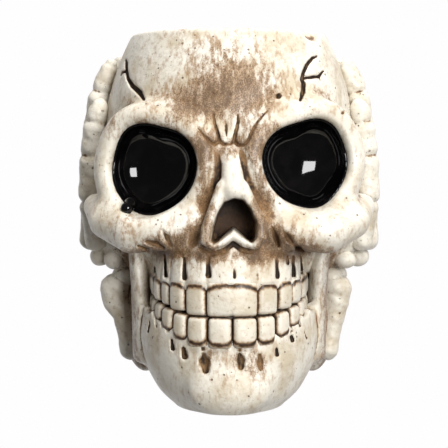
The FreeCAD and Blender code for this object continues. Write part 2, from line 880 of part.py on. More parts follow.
def air_stone():
    """A porous cylinder with rounded ends and a blind bore for the stem."""
    body = doc.addObject("Part::Cylinder", "stone_body")
    bind(body, Radius="dims.stone_diameter / 2", Height="dims.stone_length")
    place(body, y="dims.bowl_floor_y", z=flange_top)
    rounded = doc.addObject("Part::Fillet", "stone_rounded")
    rounded.Base = body
    radius = 0.18 * size("stone_diameter")
    rounded.Edges = [(1, radius, radius), (3, radius, radius)]
    bore = doc.addObject("Part::Cylinder", "stone_bore")
    bind(bore, Radius=push_bore, Height="dims.stone_bore_depth")
    place(bore, y="dims.bowl_floor_y", z=flange_top)
    return node(cut("stone", rounded, bore), "air_stone")


air_stone()

# --------------------------------------------------------------------------------------------------
# Build, check and write
# --------------------------------------------------------------------------------------------------
doc.recompute()
for obj in doc.Objects:
    if {"Invalid", "Error"} & set(obj.State):
        raise RuntimeError(f"{obj.Name} failed: {obj.State}")
for obj in NODES:
    shape = obj.Shape
    if shape.isNull() or not shape.isValid() or not shape.Solids:
        raise RuntimeError(f"{obj.Label} has no valid shape")

os.makedirs("parts", exist_ok=True)
for obj in NODES:
    obj.Shape.exportStep(f"parts/{obj.Label}.step")
    print(f"{obj.Label}: {len(obj.Shape.Solids)} solid(s), {obj.Shape.Volume / 1000:.2f} cm3")
print(f"{len(NODES)} nodes")
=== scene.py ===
# %% [markdown]
# # A skull bubbling ornament
#
# The real thing is one casting of resin and stone dust: a skull with an open crown, closed teeth, and
# skeletal hands held over its ears. It was sculpted in clay, moulded, cast, painted with a thin brown wash
# that was wiped off the high places, and its eye sockets were filled with gloss-black resin. A lift-out air
# stone stands in the bowl, on a pipe that comes in at the back.
#
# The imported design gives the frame: every piece below takes its place from a node of it, and rides on the
# body that the node rides on.
# %% The frame
import math
import time

import bpy
import numpy as np
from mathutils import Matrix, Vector


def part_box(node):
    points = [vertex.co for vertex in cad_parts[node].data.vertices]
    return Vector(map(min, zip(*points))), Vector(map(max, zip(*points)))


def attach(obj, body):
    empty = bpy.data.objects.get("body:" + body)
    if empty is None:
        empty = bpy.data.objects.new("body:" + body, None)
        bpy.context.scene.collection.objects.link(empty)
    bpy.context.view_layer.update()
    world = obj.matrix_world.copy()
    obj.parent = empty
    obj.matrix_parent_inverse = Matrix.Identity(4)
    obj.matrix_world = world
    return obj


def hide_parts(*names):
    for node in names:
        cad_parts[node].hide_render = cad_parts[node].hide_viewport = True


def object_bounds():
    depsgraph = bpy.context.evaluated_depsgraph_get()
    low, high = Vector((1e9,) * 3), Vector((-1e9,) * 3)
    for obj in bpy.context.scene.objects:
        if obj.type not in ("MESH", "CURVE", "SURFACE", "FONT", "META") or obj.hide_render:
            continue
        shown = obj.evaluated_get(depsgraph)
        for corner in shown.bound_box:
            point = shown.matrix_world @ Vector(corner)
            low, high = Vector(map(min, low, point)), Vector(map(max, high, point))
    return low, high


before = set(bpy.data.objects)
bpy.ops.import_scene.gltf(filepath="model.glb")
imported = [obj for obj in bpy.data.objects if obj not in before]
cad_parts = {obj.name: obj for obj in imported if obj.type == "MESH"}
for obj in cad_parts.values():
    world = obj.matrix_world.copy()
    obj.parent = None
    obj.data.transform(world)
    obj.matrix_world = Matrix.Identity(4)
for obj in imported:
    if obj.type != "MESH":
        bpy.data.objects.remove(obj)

CAD_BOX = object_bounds()
MM = 0.001
SIDES = {"right": -1, "left": 1}
START = time.time()


def report(step):
    """Says what a step finished, with the seconds since the start."""
    print(f"[{time.time() - START:5.1f} s] {step}")


def box_mm(node):
    """A node's lowest and highest corners in millimetres, the unit that the sculpting works in."""
    low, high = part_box(node)
    return np.array(low) / MM, np.array(high) / MM


skull_low, skull_high = box_mm("skull_casting")
report(f"frame loaded: {len(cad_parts)} nodes, skull {skull_high - skull_low} mm")

# %% [markdown]
# ## Clay
#
# A sculptor adds and scrapes away soft material until the lumps run into one another. Box modelling makes
# that hard, because every new lump needs its edges joined by hand. A *signed distance field* makes it easy:
# a block of space is divided into a grid, and each grid point stores how far it is from the surface, less
# than zero inside. Adding a lump is then the smaller of two numbers, scraping one away is the larger, and a
# little rounding between the two gives the soft fillet that a thumb leaves.
#
# numpy does this for millions of points at once. Each stroke only touches the part of the block near it.
# %% The block of clay


def soft_min(a, b, blend):
    """The smaller of two distances, with a fillet of about the blend's size where they meet."""
    if blend <= 0:
        return np.minimum(a, b)
    h = np.clip(0.5 + 0.5 * (a - b) / blend, 0, 1)
    return a + (b - a) * h - blend * h * (1 - h)


STEP_GROWTH = 1.05


class Clay:
    """Signed distances in millimetres on a grid. Its steps along y may grow from a given place backwards."""

    def __init__(self, low, high, step, coarse_from=None, coarse=1.0):
        self.axes = []
        for axis in range(3):
            grows = axis == 1 and coarse_from is not None
            steps = list(np.arange(low[axis], coarse_from if grows else high[axis], step))
            width = step
            while grows and steps[-1] < high[axis]:
                width = min(width * STEP_GROWTH, coarse)
                steps.append(steps[-1] + width)
            self.axes.append(np.array(steps, np.float32))
        self.d = np.full([len(a) for a in self.axes], 9.0, np.float32)

    def window(self, low, high):
        """The slices of the block between two corners, and its x, y and z there, ready to broadcast."""
        cuts = []
        for axis, line in enumerate(self.axes):
            first, last = np.searchsorted(line, [low[axis], high[axis]])
            cuts.append(slice(max(int(first) - 1, 0), min(int(last) + 1, len(line))))
        x, y, z = (line[cut] for line, cut in zip(self.axes, cuts))
        return tuple(cuts), x[:, None, None], y[None, :, None], z[None, None, :]

    def add(self, shape, blend=0.0):
        """Presses a lump on. A shape is (distance function, lowest corner, highest corner)."""
        distance, low, high = shape
        cut, x, y, z = self.window(np.array(low) - blend, np.array(high) + blend)
        self.d[cut] = soft_min(self.d[cut], distance(x, y, z), blend)

    def carve(self, shape, blend=0.0):
        """Scrapes a hollow out."""
        distance, low, high = shape
        cut, x, y, z = self.window(np.array(low) - blend, np.array(high) + blend)
        self.d[cut] = -soft_min(-self.d[cut], distance(x, y, z), blend)

    def keep(self, shape, blend=0.0):
        """Cuts away what lies outside a shape."""
        distance, low, high = shape
        cut, x, y, z = self.window(low, high)
        self.d[cut] = -soft_min(-self.d[cut], -distance(x, y, z), blend)

    def emboss(self, depth, low, high):
        """Pushes the surface in by a depth in millimetres, which is a function of x, y and z."""
        cut, x, y, z = self.window(low, high)
        self.d[cut] += depth(x, y, z).astype(np.float32)


report("clay ready")

# %% [markdown]
# ## The sculptor's strokes
#
# Four shapes make nearly everything on a skull: an ellipsoid for a swelling, a chain of tapered capsules
# for a ridge or a bone, an elliptic column for the jaws, and an outline given by radii round a centre for
# the eye sockets and the nose.
# %% Shapes


def turned(x, y, z, centre, spin=0.0, tilt=0.0):
    """Coordinates seen from a centre, turned about the upright axis and then about the sideways one."""
    u, v, w = x - centre[0], y - centre[1], z - centre[2]
    if spin:
        c, s = math.cos(math.radians(spin)), math.sin(math.radians(spin))
        u, v = c * u + s * v, -s * u + c * v
    if tilt:
        c, s = math.cos(math.radians(tilt)), math.sin(math.radians(tilt))
        v, w = c * v + s * w, -s * v + c * w
    return u, v, w


def from_ellipse(offsets, radii):
    """Distance from an ellipse or an ellipsoid, exact enough close to it."""
    near = np.sqrt(sum((offset / radius) ** 2 for offset, radius in zip(offsets, radii)))
    slope = np.sqrt(sum((offset / radius**2) ** 2 for offset, radius in zip(offsets, radii)))
    return near * (near - 1) / np.maximum(slope, 1e-4)


def ellipsoid(centre, radii, spin=0.0, tilt=0.0):
    """A swelling, which may be turned about its middle."""
    reach = max(radii) + 1.5

    def distance(x, y, z):
        return from_ellipse(turned(x, y, z, centre, spin, tilt), radii)

    box = np.array([reach] * 3)
    return distance, np.array(centre) - box, np.array(centre) + box


def stroke(points, radii, flat=1.0):
    """A chain of tapered capsules through points, as thick as the radii say. Flat squeezes it along y."""
    points = [np.array(p, float) for p in points]
    radii = [radii] * len(points) if np.isscalar(radii) else list(radii)

    def distance(x, y, z):
        best = None
        for p, q, r, t in zip(points, points[1:], radii, radii[1:]):
            along = q - p
            size = float(along @ along) or 1e-6
            px, py, pz = x - p[0], y - p[1], z - p[2]
            h = np.clip((px * along[0] + py * along[1] + pz * along[2]) / size, 0, 1)
            gap = np.sqrt(
                (px - h * along[0]) ** 2 + ((py - h * along[1]) / flat) ** 2 + (pz - h * along[2]) ** 2
            )
            gap = gap - (r + (t - r) * h)
            best = gap if best is None else np.minimum(best, gap)
        return best

    reach = max(radii) + 1.0
    return distance, np.min(points, axis=0) - reach, np.max(points, axis=0) + reach


def column(stations, low, high):
    """An upright elliptic column through stations of (z, x radius, y radius, y centre), smoothly joined."""
    table = np.array([s[1:] for s in stations], float)
    levels = np.arange(stations[0][0] - 6, stations[-1][0] + 6, 0.5)
    spread = np.hanning(15) / np.hanning(15).sum()
    flow = []
    for i in range(3):
        line = np.interp(levels, [s[0] for s in stations], table[:, i])
        flow.append(np.convolve(np.pad(line, 7, mode="edge"), spread, mode="valid"))

    def distance(x, y, z):
        across, along, middle = (np.interp(z, levels, line) for line in flow)
        side = from_ellipse((x, y - middle), (across, along))
        return np.maximum(side, np.maximum(low - z, z - high))

    across, along = table[:, 0].max() + 1, table[:, 1].max() + 1
    middle = table[:, 2]
    return distance, (-across, middle.min() - along, low - 1), (across, middle.max() + along, high + 1)


def smooth_ring(values, angle):
    """Values given at equal steps round a circle, joined by a smooth curve and read at an angle."""
    count = len(values)
    terms = np.fft.rfft(values) / count
    result = np.full_like(angle, terms[0].real)
    for k in range(1, len(terms)):
        weight = 1.0 if 2 * k == count else 2.0
        result += weight * (terms[k].real * np.cos(k * angle) - terms[k].imag * np.sin(k * angle))
    return result


report("strokes ready")

# %% [markdown]
# ## From clay to mesh
#
# *Surface nets* turn the distances into faces: every grid cell that the surface crosses gets one vertex, at
# the middle of its crossings, and every grid edge that the surface crosses gets one four-sided face. The
# result is even and smooth, which suits cast resin. A Decimate modifier then spends the faces where the
# form is busy and saves them where it is plain.
#
# The painter's wash is worked out at the same time. A blurred copy of the distances is negative in a
# groove and positive on a ridge, so their difference says where thin brown paint would gather and where a
# rag would wipe it off. It is stored on the vertices, for the materials to read.
# %% Surface nets
CORNERS = [(i, j, k) for i in (0, 1) for j in (0, 1) for k in (0, 1)]
EDGES = [(a, b) for a in range(8) for b in range(a + 1, 8) if bin(a ^ b).count("1") == 1]


def surface_net(clay):
    """Vertices in millimetres and four-sided faces of the surface in a block of clay."""
    d = clay.d
    d[[0, -1], :, :] = np.maximum(d[[0, -1], :, :], 0.01)
    d[:, [0, -1], :] = np.maximum(d[:, [0, -1], :], 0.01)
    d[:, :, [0, -1]] = np.maximum(d[:, :, [0, -1]], 0.01)
    inside = d < 0
    n = [s - 1 for s in d.shape]
    count = np.zeros(n, np.int8)
    for i, j, k in CORNERS:
        count += inside[i : n[0] + i, j : n[1] + j, k : n[2] + k]
    cells = np.argwhere((count > 0) & (count < 8))
    number = np.full(n, -1, np.int32)
    number[tuple(cells.T)] = np.arange(len(cells))
    corner = np.stack([d[cells[:, 0] + i, cells[:, 1] + j, cells[:, 2] + k] for i, j, k in CORNERS])
    total = np.zeros((len(cells), 3))
    hits = np.zeros(len(cells))
    for a, b in EDGES:
        crossed = (corner[a] < 0) != (corner[b] < 0)
        share = np.where(crossed, corner[a] / np.where(crossed, corner[a] - corner[b], 1), 0)
        start, end = np.array(CORNERS[a], float), np.array(CORNERS[b], float)
        total += crossed[:, None] * (start + share[:, None] * (end - start))
        hits += crossed
    place = cells + total / hits[:, None]
    points = np.stack(
        [np.interp(place[:, i], np.arange(len(line)), line) for i, line in enumerate(clay.axes)], axis=1
    )
    faces = []
    for axis in range(3):
        ahead = [slice(None)] * 3
        behind = [slice(None)] * 3
        ahead[axis], behind[axis] = slice(1, None), slice(None, -1)
        leaving = inside[tuple(behind)] & ~inside[tuple(ahead)]
        entering = ~inside[tuple(behind)] & inside[tuple(ahead)]
        one, two = [i for i in range(3) if i != axis]
        for crossing, flip in ((leaving, axis == 1), (entering, axis != 1)):
            at = np.argwhere(crossing)
            quad = []
            for back_one, back_two in ((1, 1), (0, 1), (0, 0), (1, 0)):
                cell = at.copy()
                cell[:, one] -= back_one
                cell[:, two] -= back_two
                quad.append(number[tuple(cell.T)])
            quad = np.stack(quad, axis=1)
            faces.append(quad[:, ::-1] if flip else quad)
    return points, np.concatenate(faces)


def blurred(field, cells, times=2):
    """A field averaged over a window of cells along each axis."""
    out = field
    for _ in range(times):
        for axis in range(3):
            padded = np.concatenate(
                [out.take([0] * (cells + 1), axis), out, out.take([-1] * cells, axis)], axis
            )
            running = np.cumsum(padded, axis=axis, dtype=np.float32)
            size = out.shape[axis]
            ahead = running.take(range(2 * cells + 1, 2 * cells + 1 + size), axis)
            out = (ahead - running.take(range(size), axis)) / (2 * cells + 1)
    return out


def read(clay, field, points):
    """A field of the block read at points, between its grid points."""
    place, cell = [], []
    for i, line in enumerate(clay.axes):
        at = np.interp(points[:, i], line, np.arange(len(line)))
        base = np.clip(np.floor(at).astype(int), 0, len(line) - 2)
        cell.append(base)
        place.append(at - base)
    total = np.zeros(len(points))
    for corner in CORNERS:
        weight = np.ones(len(points))
        for i in range(3):
            weight *= place[i] if corner[i] else 1 - place[i]
        total += weight * field[tuple(cell[i] + corner[i] for i in range(3))]
    return total


def mesh_object(name, points, faces):
    """A smooth-shaded object from points in millimetres and faces of three or four corners."""
    mesh = bpy.data.meshes.new(name)
    faces = np.asarray(faces)
    corners = faces.shape[1]
    mesh.vertices.add(len(points))
    mesh.vertices.foreach_set("co", (np.asarray(points) * MM).astype(np.float32).ravel())
    mesh.loops.add(faces.size)
    mesh.loops.foreach_set("vertex_index", faces.astype(np.int32).ravel())
    mesh.polygons.add(len(faces))
    mesh.polygons.foreach_set("loop_start", np.arange(0, faces.size, corners, dtype=np.int32))
    mesh.update(calc_edges=True)
    mesh.validate()
    mesh.shade_smooth()
    piece = bpy.data.objects.new(name, mesh)
    bpy.context.scene.collection.objects.link(piece)
    return piece


def applied(piece):
    """Turns an object's modifiers into plain mesh."""
    graph = bpy.context.evaluated_depsgraph_get()
    mesh = bpy.data.meshes.new_from_object(piece.evaluated_get(graph))
    piece.modifiers.clear()
    piece.data = mesh
    mesh.name = piece.name
    return piece


def points_of(piece):
    """An object's vertices in millimetres."""
    flat = np.empty(len(piece.data.vertices) * 3, np.float32)
    piece.data.vertices.foreach_get("co", flat)
    return flat.reshape(-1, 3).astype(float) / MM


def paint(piece, name, values):
    """Stores one number per vertex under a name that materials can read."""
    layer = piece.data.attributes.new(name, "FLOAT", "POINT")
    layer.data.foreach_set("value", np.asarray(values, np.float32))


def cast(name, clay, triangles=190000, fine=3, broad=8):
    """Makes an object from a block of clay, and paints where the wash gathers: 'groove' and 'hollow'."""
    points, faces = surface_net(clay)
    piece = mesh_object(name, points, faces)
    if 2 * len(faces) > triangles:
        thin = piece.modifiers.new("thin", "DECIMATE")
        thin.ratio = triangles / (2 * len(faces))
        applied(piece)
        piece.data.shade_smooth()
    at = points_of(piece)
    near = np.clip(clay.d, -4, 4)
    surface = read(clay, near, at)
    paint(piece, "groove", surface - read(clay, blurred(near, fine), at))
    paint(piece, "hollow", surface - read(clay, blurred(near, broad), at))
    tris = sum(len(p.vertices) - 2 for p in piece.data.polygons)
    report(f"{name}: {len(faces)} faces from the clay, {tris} triangles kept")
    return piece


report("surface nets ready")

# %% [markdown]
# ## The skull casting
#
# The bare form comes first, then each feature in the order a sculptor would add it: braincase and forehead,
# the jaws' column, cheekbones, the heavy rings round the eyes, the nose. The hollows come last, and then
# the fine tools: cracks, wrinkles and pits.
# %% Braincase, neck and bowl
STEP = 0.42
head = Clay((-50, -50, -2), (50, 56, 117), STEP, coarse_from=-14, coarse=2.4 * STEP)
RIM_Z = skull_high[2]
CRANIUM_Z = 77.0


def dome(centre, radii, rise, drop):
    """A braincase shape: one ellipsoid above its widest level and another below it."""

    def distance(x, y, z):
        u, v, w = turned(x, y, z, centre)
        return from_ellipse((u, v, w), (*radii, np.where(w > 0, rise, drop)))

    reach = max(*radii, rise, drop) + 2
    return distance, np.array(centre) - reach, np.array(centre) + reach


head.add(dome((0, 7.2, CRANIUM_Z), (40.4, 45.8), 52.3, 49.5))
head.add(dome((0, -2.5, 84), (37.2, 36.4), 54, 38), 6)
head.add(column([(0, 20, 27.5, 0), (14, 23, 28.5, 0), (30, 27.5, 30, 1), (46, 31, 31, 2)], 0, 52), 7)
head.add(ellipsoid((0, -9, 68), (38.5, 26, 29)), 8)
report("bare head")

# %% [markdown]
# The teeth stand along an arch, so everything about them is given by the angle round it: where one tooth
# ends and the next begins, how the closed bite rises towards the back, and how far up and down the bone
# goes. The bone ends in a scallop over each tooth.
# %% The dental arch
ARCH_Y = -21.0
ARCH = (23.6, 26.6)
UPPER_ENDS = [-22.4, -20.6, -17.9, -13.2, -6.95, 8.45, 14.6, 18.7, 21.5, 23.1]
LOWER_ENDS = [-22.3, -20.2, -16.9, -12.7, -6.6, 0.9, 8.4, 14.05, 18.2, 21.2, 22.9]
MOLARS = [0.24, 0.48]
LEVEL_ANGLES = np.radians([0, 25, 35, 47, 60, 72, 90])
LEVELS = {
    "gum": [38.1, 37.8, 37.8, 38.3, 38.7, 39.2, 40.0],
    "bite": [29.1, 29.3, 29.8, 31.0, 32.2, 33.3, 34.4],
    "root": [21.5, 21.9, 22.7, 24.8, 27.2, 29.0, 30.0],
}


def ends_on_arch(ends):
    """Tooth ends as angles round the arch, with two more molars behind on each side."""
    angles = list(np.arcsin(np.array(ends) / ARCH[0]))
    return [angles[0] - m for m in reversed(MOLARS)] + angles + [angles[-1] + m for m in MOLARS]


def arch_angle(x, y):
    """The angle round the arch, from the middle of the front, positive towards +X."""
    return np.arctan2(x / ARCH[0], -(y - ARCH_Y) / ARCH[1])


def level(name, angle):
    """The height of the gum, the bite or the root line at an angle round the arch."""
    return np.interp(np.abs(angle), LEVEL_ANGLES, LEVELS[name])


def scallop(angle, ends):
    """0 at the middle of each tooth and 1 at its ends."""
    ends = np.array(ends)
    at = np.clip(np.searchsorted(ends, angle), 1, len(ends) - 1)
    return np.abs((angle - ends[at - 1]) / (ends[at] - ends[at - 1]) * 2 - 1) ** 3


UPPER_ANGLES, LOWER_ANGLES = ends_on_arch(UPPER_ENDS), ends_on_arch(LOWER_ENDS)


def gum_gap(x, y, z, name):
    """Distance from the space that the crowns need: under the gum's edge, or above the root's edge."""
    angle = arch_angle(x, y)
    if name == "gum":
        edge = level("gum", angle) + 0.5 - 1.5 * scallop(angle, UPPER_ANGLES)
        return z - edge
    edge = level("root", angle) - 0.5 + 1.5 * scallop(angle, LOWER_ANGLES)
    return edge - z


# %% The upper jaw, cheekbones and the beds of the hands
head.add(column([(35, 23.8, 26.6, ARCH_Y), (44, 23.0, 25.9, ARCH_Y), (56, 19, 23, ARCH_Y)], 35, 58), 3)
head.carve((lambda x, y, z: gum_gap(x, y, z, "gum"), (-27, -50, 30), (27, -14, 43)), 0.7)
head.add(column([(14, 18.8, 22.0, ARCH_Y), (40, 18.8, 22.0, ARCH_Y)], 16, 42), 0)
for side in SIDES.values():
    cheek = [
        (side * 10, -40, 57), (side * 19, -39, 54.5), (side * 29, -36, 54), (side * 37, -29, 57),
        (side * 41, -19, 61),
    ]
    head.add(stroke(cheek, [4.5, 6.0, 6.6, 5.6, 4.0]), 5)
    head.add(ellipsoid((side * 33, 9, 56), (12, 18, 16)), 5)
    head.add(ellipsoid((side * 27, 6, 24), (7.5, 9.5, 17)), 5)
report("jaw, cheeks and hand beds")

# %% [markdown]
# The rings round the eyes are the strongest feature of the face. Each socket's outline is given by its
# radius at every thirty degrees, which keeps the scowl of the upper edge. The ring follows the same
# outline a little further out, and the socket is scraped out inside it.
# %% Eye rings and sockets
EYE_TURN = 22.0
EYES = {
    "right": {
        "centre": (-22.7, -35.2, 72.1),
        "outline": [14.4, 14.9, 13.9, 13.8, 15.2, 14.3, 13.8, 13.5, 13.7, 13.3, 12.8, 13.3],
    },
    "left": {
        "centre": (22.4, -35.2, 73.7),
        "outline": [14.4, 14.8, 15.2, 13.5, 13.3, 14.4, 14.0, 12.9, 12.4, 12.7, 13.5, 13.4],
    },
}
SOCKET_DEPTH = 12.5


def eye_space(x, y, z, eye, side):
    """Radius from the eye's axis as a share of its outline, that outline's radius, and depth behind it."""
    u, v, w = turned(x, y, z, eye["centre"], spin=side * EYE_TURN)
    around = np.arctan2(w, u)
    edge = smooth_ring(np.array(eye["outline"]), around)
    return np.sqrt(u**2 + w**2), edge, v


def eye_ring(eye, side, out, tube, back=0.0):
    """A rounded rim that follows the socket's outline."""

    def distance(x, y, z):
        radius, edge, depth = eye_space(x, y, z, eye, side)
        return np.sqrt((radius - edge - out) ** 2 + ((depth - back) / 1.15) ** 2) - tube

    reach = max(eye["outline"]) + out + tube + 1
    centre = np.array(eye["centre"])
    return distance, centre - reach, centre + reach


def eye_bowl(eye, side, shrink=0.0, deep=SOCKET_DEPTH):
    """The hollow of the socket: its outline narrows to a rounded bottom."""

    def distance(x, y, z):
        radius, edge, depth = eye_space(x, y, z, eye, side)
        edge = edge - shrink
        flare = np.where(depth < 0, edge + 0.25 * depth**2 / edge, edge)
        near = np.sqrt((radius / flare) ** 2 + (np.maximum(depth, 0) / (deep - shrink)) ** 2)
        return (near - 1) * np.minimum(edge, deep)

    reach = max(eye["outline"]) + 6
    centre = np.array(eye["centre"])
    return distance, centre - reach, centre + reach


for name, side in SIDES.items():
    head.add(eye_ring(EYES[name], side, 2.3, 4.3, back=2.4), 4.5)
report("eye rings")

# %% Nose
NOSE_RIGHT = [
    (-2.3, -44.2, 67.0), (-4.6, -45.6, 61.5), (-6.7, -46.6, 55.5), (-6.9, -46.8, 52.0), (-5.0, -46.8, 50.6),
    (-2.2, -46.2, 51.3), (1.1, -45.2, 53.2),
]
NOSE_LEFT = [
    (4.0, -44.2, 67.0), (6.9, -45.4, 61.5), (9.1, -46.4, 56.5), (9.3, -46.7, 53.0), (7.6, -46.8, 50.6),
    (4.6, -46.2, 51.0), (1.1, -45.2, 53.2),
]
NOSE_HOLE = [
    (1.4, 64.2), (-1.6, 63.0), (-3.6, 59.6), (-5.0, 55.6), (-5.6, 51.6), (-4.6, 50.4), (-2.8, 51.4),
    (1.2, 54.6), (4.8, 51.8), (6.6, 50.8), (7.9, 52.4), (8.1, 57.0), (6.4, 61.0), (4.2, 63.6),
]


def inside_outline(points, x, z):
    """Distance from a closed outline over x and z, less than zero inside."""
    gap = np.full(np.broadcast(x, z).shape, 1e3)
    side = np.ones(gap.shape)
    for (ax, az), (bx, bz) in zip(points, points[1:] + points[:1]):
        ex, ez = bx - ax, bz - az
        h = np.clip(((x - ax) * ex + (z - az) * ez) / (ex * ex + ez * ez), 0, 1)
        gap = np.minimum(gap, np.hypot(x - ax - h * ex, z - az - h * ez))
        above = (z >= az) & (z < bz) & (ex * (z - az) > ez * (x - ax))
        below = (z < az) & (z >= bz) & (ex * (z - az) < ez * (x - ax))
        side = np.where(above | below, -side, side)
    return gap * side


def nose_hole(x, y, z):
    """The hollow of the nose, which narrows a little inwards and ends at a flat back."""
    flat = inside_outline(NOSE_HOLE, x[:, 0, :], z[0, :, :])[:, None, :]
    return np.maximum(flat + 0.05 * (y + 47), y + 33.0)


bridge = [(-0.7, -38.4, 81.0), (0.2, -40.4, 77), (0.9, -42.6, 71.5), (1.0, -44.4, 66.5)]
head.add(stroke(bridge, [2.3, 2.7, 3.3, 3.5]), 1.6)
head.add(ellipsoid((1.0, -38, 59), (8.8, 7.0, 10.5)), 2.5)
head.add(stroke(NOSE_RIGHT, [2.4, 2.1, 2.0, 1.9, 1.6, 1.3, 1.1]), 1.0)
head.add(stroke(NOSE_LEFT, [2.4, 2.1, 2.0, 1.9, 1.7, 1.4, 1.1]), 1.0)
head.carve((nose_hole, (-9, -52, 48), (12, -31, 68)), 0.6)
report("nose")

# %% Sockets, bowl, crown, base and the bore for the pipe
for name, side in SIDES.items():
    head.carve(eye_bowl(EYES[name], side), 1.2)
bowl = [
    (44, 20, 22, 8), (52, 24.5, 25, 8.4), (62, 29, 28.2, 9), (80, 32, 30, 9), (98, 30.2, 30.4, 7.2),
    (118, 25.6, 29.8, 4.8),
]
head.carve(column(bowl, 44, 122), 1.5)
head.carve(ellipsoid((29, -23, 116.5), (7, 9, 5.5), spin=30), 0.4)
head.keep((lambda x, y, z: z - RIM_Z, (-60, -60, 100), (60, 60, 120)), 0.9)
head.keep((lambda x, y, z: -z, (-60, -60, -3), (60, 60, 10)), 0.6)
pipe_low, pipe_high = box_mm("air_pipe")
bore = [(0, 8, pipe_high[2]), (0, 8, 29), (0, 11.5, 20.5), (0, 20, 17), (0, pipe_high[1], 17)]
head.carve(stroke(bore, 2.6), 0)
report("hollows")

# %% [markdown]
# ### The fine tools
#
# Cracks, wrinkles and the grooves between tooth roots are drawn on the front of the face as lines, seen
# straight on. Each line pushes the surface in by a depth that fades to nothing at its edges and its ends.
# A pit is a very short line. Drawing on the front view works because these marks are all cut from there.
# %% Lines cut into the front


def drawn(lines, axes):
    """A sheet of depths over x and z from lines of (points, widths, depth)."""
    x, z = axes[0][:, None], axes[2][None, :]
    sheet = np.zeros((len(axes[0]), len(axes[2])), np.float32)
    for points, width, depth in lines:
        widths = [width] * len(points) if np.isscalar(width) else width
        for (p, q), (wp, wq) in zip(zip(points, points[1:]), zip(widths, widths[1:])):
            ax, az = q[0] - p[0], q[1] - p[1]
            size = ax * ax + az * az + 1e-6
            h = np.clip(((x - p[0]) * ax + (z - p[1]) * az) / size, 0, 1)
            gap = np.hypot(x - p[0] - h * ax, z - p[1] - h * az)
            wide = wp + (wq - wp) * h
            share = np.clip(1 - gap / wide, 0, 1)
            sheet = np.maximum(sheet, depth * share * (2 - share) * np.clip(wide / max(widths), 0.25, 1))
    return sheet


def engrave(clay, sheet, back):
    """Pushes the front of the block in by a sheet of depths, with none behind a given y."""
    fade = np.clip((back - clay.axes[1]) / 3, 0, 1)[None, :, None]
    clay.d += (sheet[:, None, :] * fade).astype(np.float32)


CRACKS = [
    (
        [
            (-33.1, 108.6), (-32.0, 106.0), (-31.7, 103.0), (-31.1, 100.4), (-29.5, 98.0), (-27.2, 95.9),
            (-25.7, 93.4),
        ],
        [0.4, 0.6, 0.65, 0.7, 0.95, 1.0, 0.4], 1.7,
    ),
    ([(-31.8, 102.8), (-33.2, 102.8), (-33.8, 101.9), (-34.6, 102.3)], [0.6, 0.6, 0.5, 0.3], 0.9),
    (
        [
            (27.0, 107.2), (25.3, 106.4), (23.5, 104.2), (22.4, 101.8), (21.8, 99.6), (22.4, 98.2),
            (22.1, 95.7), (21.1, 92.9),
        ],
        [0.3, 0.55, 0.7, 0.7, 0.7, 0.85, 0.8, 0.4], 1.6,
    ),
    ([(22.0, 99.9), (24.6, 100.4), (27.2, 100.8), (28.8, 102.6)], [0.7, 0.6, 0.6, 0.35], 1.2),
    ([(27.4, 100.6), (27.7, 99.6)], [0.4, 0.3], 0.6),
]
WRINKLES = [
    ([(-4.9, 89.4), (-4.3, 86.0), (-3.4, 83.0), (-2.9, 80.6)], [0.25, 0.45, 0.6, 0.7], 1.2),
    ([(-1.2, 87.6), (-0.9, 84.6), (-0.9, 81.2)], [0.2, 0.45, 0.4], 0.5),
    ([(2.3, 89.0), (2.6, 86.5), (1.9, 83.5), (1.3, 80.8)], [0.25, 0.45, 0.6, 0.7], 1.2),
    (
        [(-9.8, 85.4), (-7.4, 82.2), (-5.6, 80.4), (-4.4, 79.9), (-3.0, 80.8)], [0.25, 0.6, 0.8, 0.8, 0.7],
        1.3,
    ),
    ([(-2.9, 80.8), (-1.8, 79.9), (0.3, 79.9), (1.4, 80.9)], [0.8, 0.7, 0.7, 0.8], 1.0),
    (
        [(1.4, 80.9), (2.4, 79.7), (4.2, 79.6), (5.6, 81.0), (6.6, 83.6), (8.4, 86.6), (11.6, 90.2)],
        [0.7, 0.7, 0.7, 0.7, 0.6, 0.5, 0.25], 1.2,
    ),
]
NOSE_GROOVES = [
    (
        [(-4.4, 78.5), (-4.2, 73.5), (-5.4, 67.5), (-8.2, 61.0), (-10.6, 55.5), (-10.8, 51.0)],
        [1.4, 2.2, 2.6, 2.9, 2.8, 2.0], 0.95,
    ),
    (
        [(-8.6, 49.2), (-5.4, 47.5), (-1.8, 48.4), (1.1, 50.6), (3.6, 48.8), (6.4, 48.0)],
        [0.6, 1.0, 1.1, 0.9, 0.9, 0.4], 1.2,
    ),
    (
        [(3.8, 78.5), (5.1, 73.5), (7.4, 68.0), (10.2, 63.0), (12.8, 58.0), (13.6, 53.5)],
        [1.4, 2.1, 2.6, 2.9, 2.5, 1.5], 0.95,
    ),
]
ROOTS_TOP = [
    ([(-22.8, 42.6), (-22.4, 39.4)], [0.3, 0.7], 1.2),
    ([(-19.4, 46.6), (-19.0, 40.6)], [0.35, 0.8], 1.5),
    ([(-13.4, 46.2), (-13.3, 40.4)], [0.45, 0.9], 1.6),
    ([(-6.3, 47.6), (-6.1, 41.4)], [0.55, 1.0], 1.5),
    ([(1.4, 43.6), (1.5, 40.9)], [0.3, 0.6], 0.9),
    ([(14.0, 45.6), (14.2, 40.8)], [0.4, 0.8], 1.3),
    ([(17.2, 46.6), (17.5, 44.4)], [0.3, 0.5], 0.9),
    ([(19.1, 46.4), (19.3, 40.6)], [0.4, 0.9], 1.8),
    ([(21.9, 46.4), (22.0, 39.6)], [0.3, 0.7], 1.3),
]
